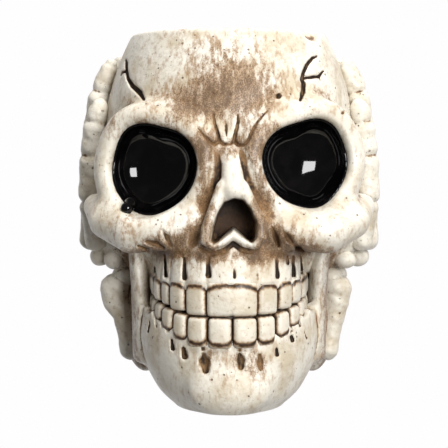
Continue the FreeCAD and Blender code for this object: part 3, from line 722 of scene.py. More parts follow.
GOUGES = [
    ([(-24.4, 51.2), (-21.6, 50.6), (-19.4, 49.4)], [0.8, 1.3, 0.7], 1.6),
    ([(-27.0, 49.9), (-24.2, 48.8)], [0.5, 0.8], 1.1),
    ([(-19.6, 54.6), (-18.4, 52.4), (-17.4, 50.0)], [0.5, 1.2, 0.7], 1.3),
    ([(12.6, 55.4), (13.6, 52.6), (14.6, 49.8)], [0.6, 1.1, 0.6], 1.9),
    ([(16.0, 54.0), (17.4, 52.2), (19.0, 50.2)], [0.6, 1.2, 0.7], 1.7),
    ([(18.7, 50.4), (20.4, 49.2), (22.4, 47.6)], [0.6, 1.2, 0.6], 1.6),
]
PITS = [
    (14.5, 94.2, 0.9), (34.0, 89.4, 0.8), (-14.0, 47.0, 0.5), (9.0, 46.0, 0.45), (-33.6, 66.0, 0.5),
    (31.0, 58.0, 0.5),
]
pit_lines = [([(x, z), (x + 0.3 * r, z + 0.2 * r)], [r, r], 0.9 * r) for x, z, r in PITS]


def root_swell(x, y, z):
    """The swelling of each upper tooth's root under the gum, as a depth less than zero."""
    angle = arch_angle(x, y)
    middle = 1 - scallop(angle, UPPER_ANGLES)
    rise = np.clip((z - 37.5) / 2, 0, 1) * np.clip((47.5 - z) / 8, 0, 1)
    front = np.clip((-24 - y) / 6, 0, 1) * np.clip((1.35 - np.abs(angle)) / 0.2, 0, 1)
    return -0.75 * middle * rise * front


head.emboss(root_swell, (-27, -50, 36), (27, -20, 49))
fine_marks = drawn(CRACKS + WRINKLES + NOSE_GROOVES + ROOTS_TOP + GOUGES + pit_lines, head.axes)
engrave(head, fine_marks, -12)
report("marks cut")

# %% Casting the skull
skull = cast("skull", head)

# %% [markdown]
# ## The lower jaw
#
# A horseshoe of bone that is flat underneath, with a broad plate rising behind the teeth on each side. It is
# its own block of clay, so that its steps can be finer than the braincase needs.
# %% Chin, body and rami
jaw = Clay((-34, -50, -2), (34, -2, 53), 0.38)
body = [
    (0, 15.6, 25.5, -17.2), (0.8, 17.6, 27.6, -16.8), (4.5, 21.8, 30.2, -16), (11, 25.5, 31.6, -15.4),
    (16, 27.3, 31.9, -15), (22, 28.3, 31.3, -15), (34, 26.5, 29, -16),
]
jaw.add(column(body, 0, 31))
jaw.carve((lambda x, y, z: gum_gap(x, y, z, "root"), (-27, -50, 18), (27, -10, 33)), 0.8)
for side in SIDES.values():
    plate = [
        (side * 27.2, -13.5, 15), (side * 27.3, -14.5, 27), (side * 27.6, -15, 36), (side * 29.0, -15, 49),
    ]
    jaw.add(stroke(plate, [3.0, 3.1, 3.0, 2.6], flat=2.2), 3.0)
jaw.carve(column([(-3, 18.6, 27.0, 1), (16, 22.4, 26.5, 1), (52, 22.6, 29.5, 1)], -3, 54), 0.5)
jaw.carve((lambda x, y, z: -(y + 4.5), (-40, -6, -3), (40, 0, 60)), 0.5)
jaw.add(ellipsoid((0, -43.5, 7), (11, 4.2, 6.5)), 5)
DIMPLES = [
    ([(-17.2, 21.8), (-16.8, 19.2)], [0.5, 0.8], 1.3),
    ([(-13.6, 19.4), (-13.2, 17.2)], [0.8, 1.1], 1.9),
    ([(-7.6, 18.0), (-7.4, 16.0), (-7.0, 13.6)], [0.9, 1.9, 1.4], 2.1),
    ([(-7.9, 20.0), (-7.8, 19.6)], [0.7, 0.7], 1.0),
    ([(3.0, 18.0), (3.3, 16.4), (3.4, 14.6)], [0.9, 1.6, 1.2], 2.0),
    ([(2.9, 19.8), (3.0, 19.4)], [0.6, 0.6], 0.9),
    ([(8.9, 17.8), (9.0, 15.6), (9.2, 13.8)], [0.7, 1.2, 0.8], 1.2),
    ([(13.9, 19.4), (14.1, 17.6)], [0.5, 0.7], 1.1),
    ([(18.5, 22.6), (18.8, 21.4)], [0.7, 0.7], 1.1),
    ([(15.2, 24.0), (15.5, 23.0)], [0.6, 0.6], 1.0),
    ([(-24.0, 26.4), (-24.6, 23.2)], [0.3, 0.4], 0.6),
]
SLITS = [
    ([(-20.8, 28.6), (-20.0, 25.6)], [0.35, 0.5], 0.8),
    ([(-19.2, 27.8), (-18.4, 24.4)], [0.35, 0.6], 0.9),
    ([(-22.3, 27.6), (-21.9, 25.2)], [0.3, 0.4], 0.6),
    ([(20.4, 28.4), (21.2, 25.4)], [0.35, 0.5], 0.8),
    ([(22.4, 24.0), (23.4, 21.4)], [0.2, 0.35], 0.5),
    ([(18.0, 26.6), (18.6, 24.2)], [0.3, 0.6], 0.8),
]
engrave(jaw, drawn(DIMPLES + SLITS, jaw.axes), -12)
jaw.keep((lambda x, y, z: -z, (-60, -60, -3), (60, 60, 8)), 0.5)
mandible = cast("mandible", jaw, triangles=150000)

# %% [markdown]
# ## Teeth
#
# Each crown is a block with rounded edges and a slightly swollen front, set across the arch at its own angle.
# They are pressed into one block of clay a row at a time, with narrow gaps, which the wash and painted
# shade later blacken.
# %% Crowns


def crown(start, end, low, high, thick=4.6, out=0.0, gap=0.3, round_off=1.2):
    """A rounded block between two angles of the arch and two heights."""
    middle = (start + end) / 2
    points = [
        np.array([ARCH[0] * math.sin(a), ARCH_Y - ARCH[1] * math.cos(a)]) for a in (start, middle, end)
    ]
    along = points[2] - points[0]
    half = np.linalg.norm(along) / 2 - gap
    along /= 2 * (half + gap)
    outward = np.array([along[1], -along[0]])
    chord = (points[0] + points[2]) / 2
    bulge = abs((points[1] - chord) @ outward)
    centre = chord + outward * (out - thick / 2)
    tall = (high - low) / 2

    def distance(x, y, z):
        u = (x - centre[0]) * along[0] + (y - centre[1]) * along[1]
        v = (x - centre[0]) * outward[0] + (y - centre[1]) * outward[1]
        w = z - (low + high) / 2
        v = v - (bulge + 0.25) * (1 - (u / half) ** 2) - 0.35 * (1 - (w / tall) ** 2)
        q = [np.abs(u) - half + round_off, np.abs(v) - thick / 2 + round_off, np.abs(w) - tall + round_off]
        out_of = np.sqrt(sum(np.maximum(a, 0) ** 2 for a in q))
        return out_of + np.minimum(np.maximum(np.maximum(q[0], q[1]), q[2]), 0) - round_off

    reach = max(half, tall, thick) + 2
    mid = np.array([centre[0], centre[1], (low + high) / 2])
    return distance, mid - reach, mid + reach


def tooth_row(name, angles, low_name, high_name, low_shift, high_shift, gap, seed):
    """The clay of one row of crowns, none quite as far out as its neighbour."""
    rng = np.random.default_rng(seed)
    zs = sorted((min(LEVELS[low_name]) - 3, max(LEVELS[high_name]) + 3))
    row = Clay((-26, -50.5, zs[0]), (26, -12, zs[1]), 0.26)
    for start, end in zip(angles, angles[1:]):
        middle = (start + end) / 2
        low = float(level(low_name, middle)) + low_shift
        high = float(level(high_name, middle)) + high_shift
        row.add(crown(start, end, low, high, out=0.15 + rng.uniform(-0.3, 0.25), gap=gap), 0.08)
    return row


upper_row = tooth_row("upper_teeth", UPPER_ANGLES, "bite", "gum", 0.24, 1.6, 0.27, 4)
engrave(
    upper_row,
    drawn(
        [([(0.4, 38.6), (0.5, 36.8)], [1.4, 0.5], 0.45), ([(0.5, 31.2), (0.6, 29.4)], [0.4, 1.0], 0.35)],
        upper_row.axes,
    ),
    -30,
)
lower_row = tooth_row("lower_teeth", LOWER_ANGLES, "root", "bite", -1.6, -0.24, 0.36, 9)
upper_teeth = cast("upper_teeth", upper_row, triangles=110000, fine=3, broad=7)
lower_teeth = cast("lower_teeth", lower_row, triangles=110000, fine=3, broad=7)

# %% The wash and painted shade at the gum


def gum_shadow(piece, name):
    """Paints 'edge', wash and painted shade: high where a crown meets bone, its neighbour or the other row.
    """
    at = points_of(piece)
    x, y, z = at.T
    angle = arch_angle(x, y)
    ends = np.array(UPPER_ANGLES if name == "gum" else LOWER_ANGLES)
    reach = np.hypot(x, y - ARCH_Y)
    beside = np.abs(angle[:, None] - ends).min(axis=1) * reach
    gum = np.abs(gum_gap(x, y, z, name))
    bite = np.abs(z - level("bite", angle))
    shade = np.maximum(1.2 - gum / 1.1, 1.25 - beside / 0.62)
    paint(piece, "edge", np.clip(np.maximum(shade, 1.0 - bite / 0.8), 0, 1.2))


gum_shadow(upper_teeth, "gum")
gum_shadow(lower_teeth, "root")

# %% [markdown]
# ## Black eyes
#
# The sockets were filled with thick gloss-black resin and tipped, so it lines them like glaze in a cup. It
# is the socket's own hollow less a slightly smaller one, cut off at a wavy edge. One drop ran over the rim.
# %% Poured gloss
EYE_EDGE = -0.3


def pool(name, side):
    """The gloss that lines one socket."""
    eye = EYES[name]
    centre = np.array(eye["centre"])
    block = Clay(centre - 19, centre + 19, 0.36)
    block.add(eye_bowl(eye, side, shrink=-0.25, deep=SOCKET_DEPTH + 0.25))
    block.carve(eye_bowl(eye, side, shrink=0.7, deep=9.2), 0.5)

    def lip(x, y, z):
        depth = eye_space(x, y, z, eye, side)[2]
        across, _, up = turned(x, y, z, eye["centre"], spin=side * EYE_TURN)
        around = np.arctan2(up, across)
        return EYE_EDGE + 0.35 * np.sin(3 * around + side) + 0.25 * np.sin(5 * around) - depth

    block.keep((lip, centre - 19, centre + 19), 0.5)
    if name == "right":
        block.add(ellipsoid((-30.6, -36.6, 60.9), (1.9, 1.6, 1.9)), 0.8)
        block.add(ellipsoid((-29.4, -34.6, 62.6), (2.0, 2.4, 2.0)), 0.8)
    return cast(f"{name}_eye_gloss", block, triangles=60000)


eye_gloss = {name: pool(name, side) for name, side in SIDES.items()}

# %% [markdown]
# ## Finishes
#
# All the bone was painted the same way: an ivory coat, then a thin brown wash over everything, most of which
# a rag took off again. What stayed sits in grooves, in pinholes left by air in the mould, and in patches
# where the painter added more dabs. Some of the brown and near black is painted shade: higher up in the nose,
# behind and between the teeth, beside the jaw and a little in the bowl. The wash material reads the numbers
# that were painted on the vertices when each piece was cast, and breaks them up with noise so that no edge
# looks drawn.
#
# Writing node trees line by line is long-winded, so a small class adds a node and returns its output.
# %% A short way to build materials


class Finish:
    """A material being built. Each method adds a node and returns its main output."""

    def __init__(self, name):
        self.material = bpy.data.materials.new(name)
        self.material.use_nodes = True
        self.tree = self.material.node_tree
        self.skin = self.tree.nodes["Principled BSDF"]
        texture = self.tree.nodes.new("ShaderNodeTexCoord")
        scaled = self.tree.nodes.new("ShaderNodeVectorMath")
        scaled.operation = "SCALE"
        scaled.inputs["Scale"].default_value = 1 / MM
        self.tree.links.new(texture.outputs["Object"], scaled.inputs[0])
        self.place = scaled.outputs[0]

    def put(self, socket, value):
        """Links an output to an input, or sets the input to a value."""
        if isinstance(value, bpy.types.NodeSocket):
            self.tree.links.new(value, socket)
        else:
            socket.default_value = value

    def painted(self, name):
        """The number that was painted on the vertices under a name."""
        node = self.tree.nodes.new("ShaderNodeAttribute")
        node.attribute_name = name
        return node.outputs["Fac"]

    def sum(self, operation, a, b=0.0):
        """One sum on two numbers: ADD, SUBTRACT, MULTIPLY or MAXIMUM."""
        node = self.tree.nodes.new("ShaderNodeMath")
        node.operation = operation
        self.put(node.inputs[0], a)
        self.put(node.inputs[1], b)
        return node.outputs[0]

    def step(self, value, low, high, start=0.0, end=1.0):
        """Rises smoothly from start to end as the value goes from low to high."""
        node = self.tree.nodes.new("ShaderNodeMapRange")
        node.interpolation_type = "SMOOTHSTEP"
        self.put(node.inputs["Value"], value)
        for socket, number in zip(("From Min", "From Max", "To Min", "To Max"), (low, high, start, end)):
            node.inputs[socket].default_value = number
        return node.outputs["Result"]

    def noise(self, scale, detail=3.0, rough=0.55, stretch=None):
        """Cloudy noise, with its scale in lumps per millimetre."""
        node = self.tree.nodes.new("ShaderNodeTexNoise")
        place = self.place
        if stretch:
            move = self.tree.nodes.new("ShaderNodeVectorMath")
            move.operation = "MULTIPLY"
            self.put(move.inputs[0], place)
            move.inputs[1].default_value = stretch
            place = move.outputs[0]
        self.put(node.inputs["Vector"], place)
        node.inputs["Scale"].default_value = scale
        node.inputs["Detail"].default_value = detail
        node.inputs["Roughness"].default_value = rough
        return node.outputs["Fac"]

    def dots(self, scale, size, share):
        """1 in small round dots, on a share of the cells."""
        node = self.tree.nodes.new("ShaderNodeTexVoronoi")
        self.put(node.inputs["Vector"], self.place)
        node.inputs["Scale"].default_value = scale
        split = self.tree.nodes.new("ShaderNodeSeparateColor")
        self.put(split.inputs[0], node.outputs["Color"])
        chosen = self.step(split.outputs[0], share, share + 0.02, 1, 0)
        radius = self.sum("MULTIPLY", split.outputs[1], size)
        inside = self.step(self.sum("SUBTRACT", node.outputs["Distance"], radius), -0.06, 0.02, 1, 0)
        return self.sum("MULTIPLY", chosen, inside)

    def blend(self, amount, under, over):
        """One colour over another."""
        node = self.tree.nodes.new("ShaderNodeMix")
        node.data_type = "RGBA"
        self.put(node.inputs["Factor"], amount)
        self.put(node.inputs[6], under)
        self.put(node.inputs[7], over)
        return node.outputs[2]

    def bump(self, height, strength, distance, normal=None):
        """Relief from a height, over the relief that is there already."""
        node = self.tree.nodes.new("ShaderNodeBump")
        self.put(node.inputs["Height"], height)
        node.inputs["Strength"].default_value = strength
        node.inputs["Distance"].default_value = distance * MM
        if normal is not None:
            self.put(node.inputs["Normal"], normal)
        return node.outputs[0]

    def done(self, **sockets):
        """Sets the shader's inputs by name, with underscores for spaces, and returns the material."""
        for name, value in sockets.items():
            self.put(self.skin.inputs[name.replace("_", " ")], value)
        return self.material


# %% Antiqued bone
IVORY, CREAM, BEIGE = (0.69, 0.65, 0.565, 1), (0.52, 0.45, 0.335, 1), (0.285, 0.165, 0.075, 1)
UMBER, BLACK_BROWN = (0.060, 0.028, 0.011, 1), (0.012, 0.007, 0.004, 1)


def antiqued(name, wash=1.0, dirt=1.0, extra=None, clean=IVORY):
    """Ivory resin under a brown wash. Wash is how much stayed in the grooves, dirt how much on the flats."""
    f = Finish(name)
    groove, hollow = f.painted("groove"), f.painted("hollow")
    clouds, grain, fine = f.noise(0.10, 4), f.noise(0.8, 6, 0.65), f.noise(3.2, 4, 0.7)
    colour = f.blend(f.step(clouds, 0.38, 0.66), clean, CREAM)
    colour = f.blend(f.step(grain, 0.50, 0.74, 0, 0.35 * dirt), colour, BEIGE)
    uneven = f.step(grain, 0.25, 0.75, -0.20, 0.20)
    deep = f.sum("ADD", hollow, f.sum("MULTIPLY", uneven, 1.2))
    colour = f.blend(f.step(deep, 0.20, 1.20, 0, 0.70 * wash), colour, BEIGE)
    line = f.sum("ADD", groove, f.sum("MULTIPLY", uneven, 0.28))
    colour = f.blend(f.step(line, 0.02, 0.15, 0, 0.78 * wash), colour, BEIGE)
    colour = f.blend(f.step(line, 0.06, 0.22, 0, 0.96 * wash), colour, UMBER)
    colour = f.blend(f.step(line, 0.16, 0.36, 0, 0.9 * wash), colour, BLACK_BROWN)
    specks = f.step(f.sum("ADD", fine, f.sum("MULTIPLY", grain, 0.5)), 0.93, 1.03, 0, 0.5 * dirt)
    colour = f.blend(specks, colour, UMBER)
    holes = f.sum("MAXIMUM", f.dots(0.55, 0.24, 0.40 * dirt), f.dots(1.3, 0.22, 0.34 * dirt))
    colour = f.blend(f.sum("MULTIPLY", holes, 0.8), colour, UMBER)
    worn = f.step(groove, -0.30, -0.08, 0.55, 0)
    colour = f.blend(worn, colour, clean)
    if extra:
        colour = extra(f, colour, grain, fine)
    relief = f.bump(f.noise(0.22, 4, 0.6), 0.6, 0.55)
    relief = f.bump(f.noise(1.4, 5, 0.6), 0.4, 0.16, relief)
    relief = f.bump(holes, 0.8, -0.25, relief)
    rough = f.step(line, 0.0, 0.3, 0.42, 0.80)
    return f.done(Base_Color=colour, Roughness=rough, Normal=relief)


def stained_and_shaded(f, colour, grain, fine):
    """Speckled brown dabs on the brow and round the face, near black in the deep holes, partly painted shade.
    """
    stain_and_shade = f.painted("stain_and_shade")
    brushed = f.noise(0.55, 5, 0.7, stretch=(1.0, 0.5, 0.45))
    # Brown dabs; beside the jaw the same numbers carry painted shade.
    dabbed_and_shaded = f.sum("ADD", stain_and_shade, f.step(brushed, 0.3, 0.7, -0.50, 0.45))
    colour = f.blend(f.step(dabbed_and_shaded, 0.05, 0.80, 0, 0.82), colour, BEIGE)
    speckled = f.sum("ADD", f.sum("MULTIPLY", dabbed_and_shaded, 0.6), f.step(fine, 0.35, 0.68, -0.35, 0.45))
    speckled = f.sum("MULTIPLY", speckled, f.step(stain_and_shade, 0.05, 0.5))
    colour = f.blend(f.step(speckled, 0.28, 0.75, 0, 0.75), colour, UMBER)
    # Near black paint in the sockets and the nose, and painted shade higher in the nose, behind the teeth and
    # in the bowl.
    dark_paint_and_shade = f.sum("ADD", f.painted("dark_paint_and_shade"), f.step(grain, 0.2, 0.8, -0.15, 0.15))
    colour = f.blend(f.step(dark_paint_and_shade, 0.20, 0.60, 0, 0.9), colour, UMBER)
    return f.blend(f.step(dark_paint_and_shade, 0.50, 1.0), colour, BLACK_BROWN)


def rooted(f, colour, grain, fine):
    """Brown wash and painted shade along the lines where a crown meets the bone and its neighbours."""
    edge = f.sum("ADD", f.painted("edge"), f.step(grain, 0.2, 0.8, -0.30, 0.30))
    colour = f.blend(f.step(edge, 0.05, 0.70, 0, 0.8), colour, BEIGE)
    colour = f.blend(f.step(edge, 0.50, 0.95, 0, 0.9), colour, UMBER)
    return f.blend(f.step(edge, 0.85, 1.25, 0, 0.9), colour, BLACK_BROWN)


cast_bone = antiqued("antiqued cast bone", 1.0, 1.0, stained_and_shaded)
jaw_bone = antiqued("antiqued jaw bone", 1.0, 0.8, stained_and_shaded)
tooth_bone = antiqued("antiqued teeth", 1.1, 0.6, rooted, (0.64, 0.59, 0.495, 1))
hand_bone = antiqued("antiqued hand bone", 1.25, 1.5)
report("bone finishes")

# %% [markdown]
# The eyes are the one glossy thing on it. Everything of the air system is plain stock: clear acrylic tube,
# milky silicone, black plastic and baked grit.
# %% Gloss, tube, silicone, plastic and stone


def gloss_black():
    f = Finish("gloss black resin")
    ripple = f.bump(f.noise(0.12, 2), 0.25, 0.5)
    dust = f.step(f.noise(2.5, 4, 0.7), 0.66, 0.74, 0.05, 0.30)
    tone = f.blend(f.step(f.noise(0.2, 2), 0.4, 0.7), (0.001, 0.001, 0.0012, 1), (0.003, 0.0025, 0.0025, 1))
    return f.done(Base_Color=tone, Roughness=dust, Normal=ripple, IOR=1.4)


def clear_tube():
    f = Finish("clear acrylic tube")
    streaks = f.noise(1.2, 4, 0.6, stretch=(3, 3, 0.15))
    tone = f.blend(streaks, (0.90, 0.96, 0.97, 1), (0.97, 0.99, 1.0, 1))
    rough = f.step(streaks, 0.45, 0.75, 0.04, 0.22)
    return f.done(Base_Color=tone, Roughness=rough, Transmission_Weight=0.9, IOR=1.49)


def milky_silicone():
    f = Finish("milky silicone")
    clouds = f.noise(0.5, 3)
    tone = f.blend(clouds, (0.78, 0.80, 0.80, 1), (0.62, 0.66, 0.68, 1))
    skin = f.bump(f.noise(2.2, 3), 0.2, 0.05)
    return f.done(
        Base_Color=tone, Roughness=f.step(clouds, 0.3, 0.7, 0.38, 0.55), Normal=skin, Subsurface_Weight=0.3,
    )


def black_plastic():
    f = Finish("black moulded plastic")
    grain = f.noise(4.0, 4, 0.7)
    tone = f.blend(grain, (0.012, 0.012, 0.013, 1), (0.03, 0.03, 0.032, 1))
    return f.done(
        Base_Color=tone, Roughness=f.step(grain, 0.3, 0.7, 0.35, 0.6), Normal=f.bump(grain, 0.3, 0.04),
    )


def porous_stone():
    f = Finish("baked blue-grey grit")
    grain, patches = f.noise(1.6, 5, 0.7), f.noise(0.15, 3)
    tone = f.blend(patches, (0.17, 0.22, 0.27, 1), (0.25, 0.30, 0.35, 1))
    tone = f.blend(f.step(grain, 0.5, 0.8, 0, 0.6), tone, (0.45, 0.50, 0.53, 1))
    tone = f.blend(f.dots(1.2, 0.35, 0.5), tone, (0.05, 0.07, 0.09, 1))
    return f.done(
        Base_Color=tone, Roughness=f.step(grain, 0.3, 0.7, 0.75, 0.98), Normal=f.bump(grain, 0.7, 0.3),
    )


report("other finishes")

# %% [markdown]
# ## The hands
#
# Each hand lies flat over an ear, with the wrist below it and the forearm's two bones beside the neck. A
# sculptor rolls each bone separately, presses it on to the head and pinches its ends into knuckles. Here a
# bone is a chain of capsules with a slight waist, and it asks the head's clay how far out the surface is, so
# that it always lies on it, let in a little.
# %% Laying a bone on the head
FINGERS = {"little": 95, "ring": 108, "middle": 109, "index": 101}
PALM_Z, KNUCKLE_Z, HAND_Y = 47.6, 62.5, 7.0
WRIST_PITCH, KNUCKLE_PITCH, FAN = 6.3, 8.0, 0.35
BONE_STEP = 0.36
WIDEST = CAD_BOX[1][0] / MM - 0.15


def surface_x(side, y, z):
    """How far out the head's clay reaches at a height and a depth."""
    row = head.d[:, np.abs(head.axes[1] - y).argmin(), np.abs(head.axes[2] - z).argmin()]
    x = head.axes[0][row < 0]
    return abs(x.max() if side > 0 else x.min()) if len(x) else 20.0


def laid(side, y, z, radius, let_in=0.95):
    """The axis point of a bone that is let into the surface, and never wider than the hand may be."""
    reach = [surface_x(side, y + dy, z + dz) for dy in (-1, 1) for dz in (-1.5, 1.5)]
    return np.array([side * min(np.mean(reach) + let_in * radius, WIDEST - radius), y, z])


def finger_bone(p, q, thick, tip):
    """The stroke for one bone, with a slight waist. A tip narrows to a blunt point."""
    along = (q - p) / np.linalg.norm(q - p)
    r = thick / 2
    start, end = p + along * r * 0.62, q - along * r * (0.55 if tip else 0.60)
    shaft = [start + (end - start) * t for t in (0, 0.25, 0.5, 0.75, 1)]
    widths = [0.90, 0.90, 0.84, 0.74, 0.55] if tip else [0.92, 0.90, 0.86, 0.89, 0.94]
    return stroke(shaft, [r * w for w in widths])


def hand_dents(x, y, z):
    """The unevenness of clay that was rolled by hand."""
    return 0.12 * np.sin(0.9 * x + 0.6 * z) * np.sin(0.8 * y - 0.5 * z) + 0.03 * np.sin(2.1 * z + x)


def pressed(name, strokes, blend=0.5, triangles=16000):
    """Presses strokes into a small block of clay of their own, dents it a little and casts it."""
    low = np.min([s[1] for s in strokes], axis=0)
    high = np.max([s[2] for s in strokes], axis=0)
    block = Clay(low, high, BONE_STEP)
    for shape in strokes:
        block.add(shape, blend)
    block.emboss(hand_dents, low, high)
    return cast(name, block, triangles=triangles, fine=3, broad=6)


report("bones can be laid")

# %% Fingers, palm and thumb
hand_pieces = {}


def chain_of_bones(side, stations, widths):
    """Bones end to end along (y, z) stations, as a stroke for each. The last one ends in a tip."""
    bones = []
    for number, ((y0, z0), (y1, z1), w0, w1) in enumerate(zip(stations, stations[1:], widths, widths[1:])):
        p, q = laid(side, y0, z0, w0 / 2), laid(side, y1, z1, w1 / 2)
        bones.append(finger_bone(p, q, (w0 + w1) / 2 * 1.04, number == len(stations) - 2))
    return bones


for side_name, side in SIDES.items():
    for index, (finger_name, tip_z) in enumerate(FINGERS.items()):
        offset = index - 1.5
        base_y, knuckle_y = HAND_Y + offset * WRIST_PITCH, HAND_Y + offset * KNUCKLE_PITCH
        lean = FAN * (knuckle_y - base_y) / (KNUCKLE_Z - PALM_Z)
        stations = [(base_y, PALM_Z), (knuckle_y, KNUCKLE_Z)]
        for share in (0.44, 0.76, 1.0):
            rise = share * (tip_z - KNUCKLE_Z)
            stations.append((knuckle_y + lean * rise, KNUCKLE_Z + rise))
        bones = chain_of_bones(side, stations, [6.6, 7.8, 7.8, 7.6, 6.2])
        name = f"{side_name}_{finger_name}"
        hand_pieces[f"{name}_palm_bone"] = pressed(f"{name}_palm_bone", bones[:1])
        hand_pieces[f"{name}_finger"] = pressed(f"{name}_finger", bones[1:], 0.6, 26000)
    start_y, start_z = HAND_Y + 2.3 * WRIST_PITCH, PALM_Z + 2
    rise_y, rise_z = 43 - start_y, 71 - start_z
    stations = [(start_y + t * rise_y, start_z + t * rise_z) for t in (0, 0.42, 0.74, 1)]
    bones = chain_of_bones(side, stations, [6.6, 6.8, 6.3, 5.2])
    hand_pieces[f"{side_name}_thumb"] = pressed(f"{side_name}_thumb", bones, 0.25, 26000)
report("fingers and thumbs")

# %% [markdown]
# Under the palm are two rows of pebble-like wrist bones, and then the forearm. Its bones end in wide heads,
# and their lower ends run into the base of the casting.
# %% Wrists and forearms
HEAD_X = {"right": 37.0, "left": 35.0}
for side_name, side in SIDES.items():
    rng = np.random.default_rng(40 + side)
    pebbles = []
    for level_number, count in ((0, 4), (1, 3)):
        z = PALM_Z - 3.6 - level_number * 5.8
        for i in range(count):
            y = HAND_Y + (i - (count - 1) / 2) * WRIST_PITCH
            at = laid(side, y, z, 3.0, 0.7) + rng.uniform(-0.35, 0.35, 3)
            radii = np.array([3.3, 3.5, 3.0]) * rng.uniform(0.92, 1.06, 3)
            pebbles.append(ellipsoid(at, radii, spin=rng.uniform(-20, 20), tilt=rng.uniform(-20, 20)))
    hand_pieces[f"{side_name}_wrist_bones"] = pressed(f"{side_name}_wrist_bones", pebbles, 0.15, 30000)
    for bone_name, offset in (("radius", -0.5), ("ulna", 0.5)):
        y = HAND_Y - 1 + offset * 9.4
        run = [
            (HEAD_X[side_name], 34.0, 4.5), (HEAD_X[side_name] - 0.4, 30.2, 4.1), (34.0, 26.0, 3.5),
            (32.8, 20.0, 3.2), (31.8, 14.6, 3.5),
        ]
        shaft = stroke([(side * x, y, z) for x, z, r in run], [r for x, z, r in run])
        block = [shaft, ellipsoid((side * (HEAD_X[side_name] - 0.5), y - 0.6, 35.2), (4.1, 3.9, 3.2))]
        name = f"{side_name}_forearm_{bone_name}"
        hand_pieces[name] = pressed(name, block, 1.6, 18000)
report("wrists and forearms")

# %% [markdown]
# ## The air stone
#
# An air stone is glass or ceramic grit, baked until the grains just stick together. So it is made that way
# here: a rough round body with a blind bore for its stem, and grains set all over it. *Geometry Nodes*
# scatter the grains, which is quicker and more even than placing them by hand. The seed is fixed, so the
# stone comes out the same every time, and the inputs make it coarser or finer.
# %% The baked body
STONE_R, STONE_BORE = 7.62, 2.54
stone_low, stone_high = box_mm("air_stone")
stone_y = (stone_low[1] + stone_high[1]) / 2


def round_bar(radius, low, high, rounding):
    """An upright cylinder on the stone's axis with rounded ends."""

    def distance(x, y, z):
        side = np.hypot(x, y - stone_y) - radius + rounding
        end = np.maximum(low - z, z - high) + rounding
        corner = np.hypot(np.maximum(side, 0), np.maximum(end, 0))
        return corner + np.minimum(np.maximum(side, end), 0) - rounding

    return distance, (
        -radius - 1, stone_y - radius - 1, low - 1,
    ), (radius + 1, stone_y + radius + 1, high + 1)


grit = Clay(stone_low - 0.5, stone_high + 0.5, 0.3)
grit.add(round_bar(STONE_R, stone_low[2] + 0.35, stone_high[2] - 0.4, 2.6))
grit.carve(round_bar(STONE_BORE, stone_low[2] - 2, stone_low[2] + 9, 0.1))
grit.emboss(
    lambda x, y, z: 0.07 * np.sin(4.1 * x) * np.sin(3.7 * y + 2) * np.sin(4.3 * z), stone_low, stone_high,
)
air_stone = cast("air_stone", grit, triangles=40000)

# %% Grains by Geometry Nodes
GRAIN_INPUTS = (
    ("Grains per square centimetre", "NodeSocketFloat", 150.0),
    ("Grain radius", "NodeSocketFloat", 0.00034), ("Seed", "NodeSocketInt", 7),
)


def grain_tree(material):
    """A node tree that scatters faceted grains over a mesh and keeps the mesh under them."""
    tree = bpy.data.node_groups.new("grains", "GeometryNodeTree")
    tree.interface.new_socket("Geometry", in_out="INPUT", socket_type="NodeSocketGeometry")
    for name, kind, value in GRAIN_INPUTS:
        socket = tree.interface.new_socket(name, in_out="INPUT", socket_type=kind)
        socket.default_value = value
    tree.interface.new_socket("Geometry", in_out="OUTPUT", socket_type="NodeSocketGeometry")
    add = tree.nodes.new
    link = tree.links.new
    given, result = add("NodeGroupInput"), add("NodeGroupOutput")
    per_metre = add("ShaderNodeMath")
    per_metre.operation = "MULTIPLY"
    per_metre.inputs[1].default_value = 1e4
    link(given.outputs[1], per_metre.inputs[0])
    scatter = add("GeometryNodeDistributePointsOnFaces")
    link(given.outputs["Geometry"], scatter.inputs["Mesh"])
    link(per_metre.outputs[0], scatter.inputs["Density"])
    link(given.outputs["Seed"], scatter.inputs["Seed"])
    grain = add("GeometryNodeMeshIcoSphere")
    grain.inputs["Subdivisions"].default_value = 1
    link(given.outputs["Grain radius"], grain.inputs["Radius"])
    size = add("FunctionNodeRandomValue")
    size.data_type = "FLOAT_VECTOR"
    size.inputs[0].default_value = (0.6, 0.6, 0.6)
    size.inputs[1].default_value = (1.0, 1.0, 1.0)
    turn = add("FunctionNodeRandomValue")
    turn.data_type = "FLOAT_VECTOR"
    turn.inputs[1].default_value = (6.28, 6.28, 6.28)
    place = add("GeometryNodeInstanceOnPoints")
    link(scatter.outputs["Points"], place.inputs["Points"])
    link(grain.outputs["Mesh"], place.inputs["Instance"])
    link(turn.outputs[0], place.inputs["Rotation"])
    link(size.outputs[0], place.inputs["Scale"])
    join = add("GeometryNodeJoinGeometry")
    link(place.outputs["Instances"], join.inputs[0])
    link(given.outputs["Geometry"], join.inputs[0])
    real = add("GeometryNodeRealizeInstances")
    link(join.outputs[0], real.inputs[0])
    finish = add("GeometryNodeSetMaterial")
    finish.inputs["Material"].default_value = material
    link(real.outputs[0], finish.inputs["Geometry"])
    link(finish.outputs[0], result.inputs[0])
    return tree


def grained(piece, material):
    """Adds the grains to a piece and turns the result into plain mesh."""
    tree = grain_tree(material)
    maker = piece.modifiers.new("grains", "NODES")
    maker.node_group = tree
    for item in tree.interface.items_tree:
        for name, _, value in GRAIN_INPUTS:
            if item.name == name:
                maker[item.identifier] = value
    applied(piece)
    report(f"{piece.name}: {len(piece.data.polygons)} faces with its grains")


stone_material = porous_stone()
grained(air_stone, stone_material)
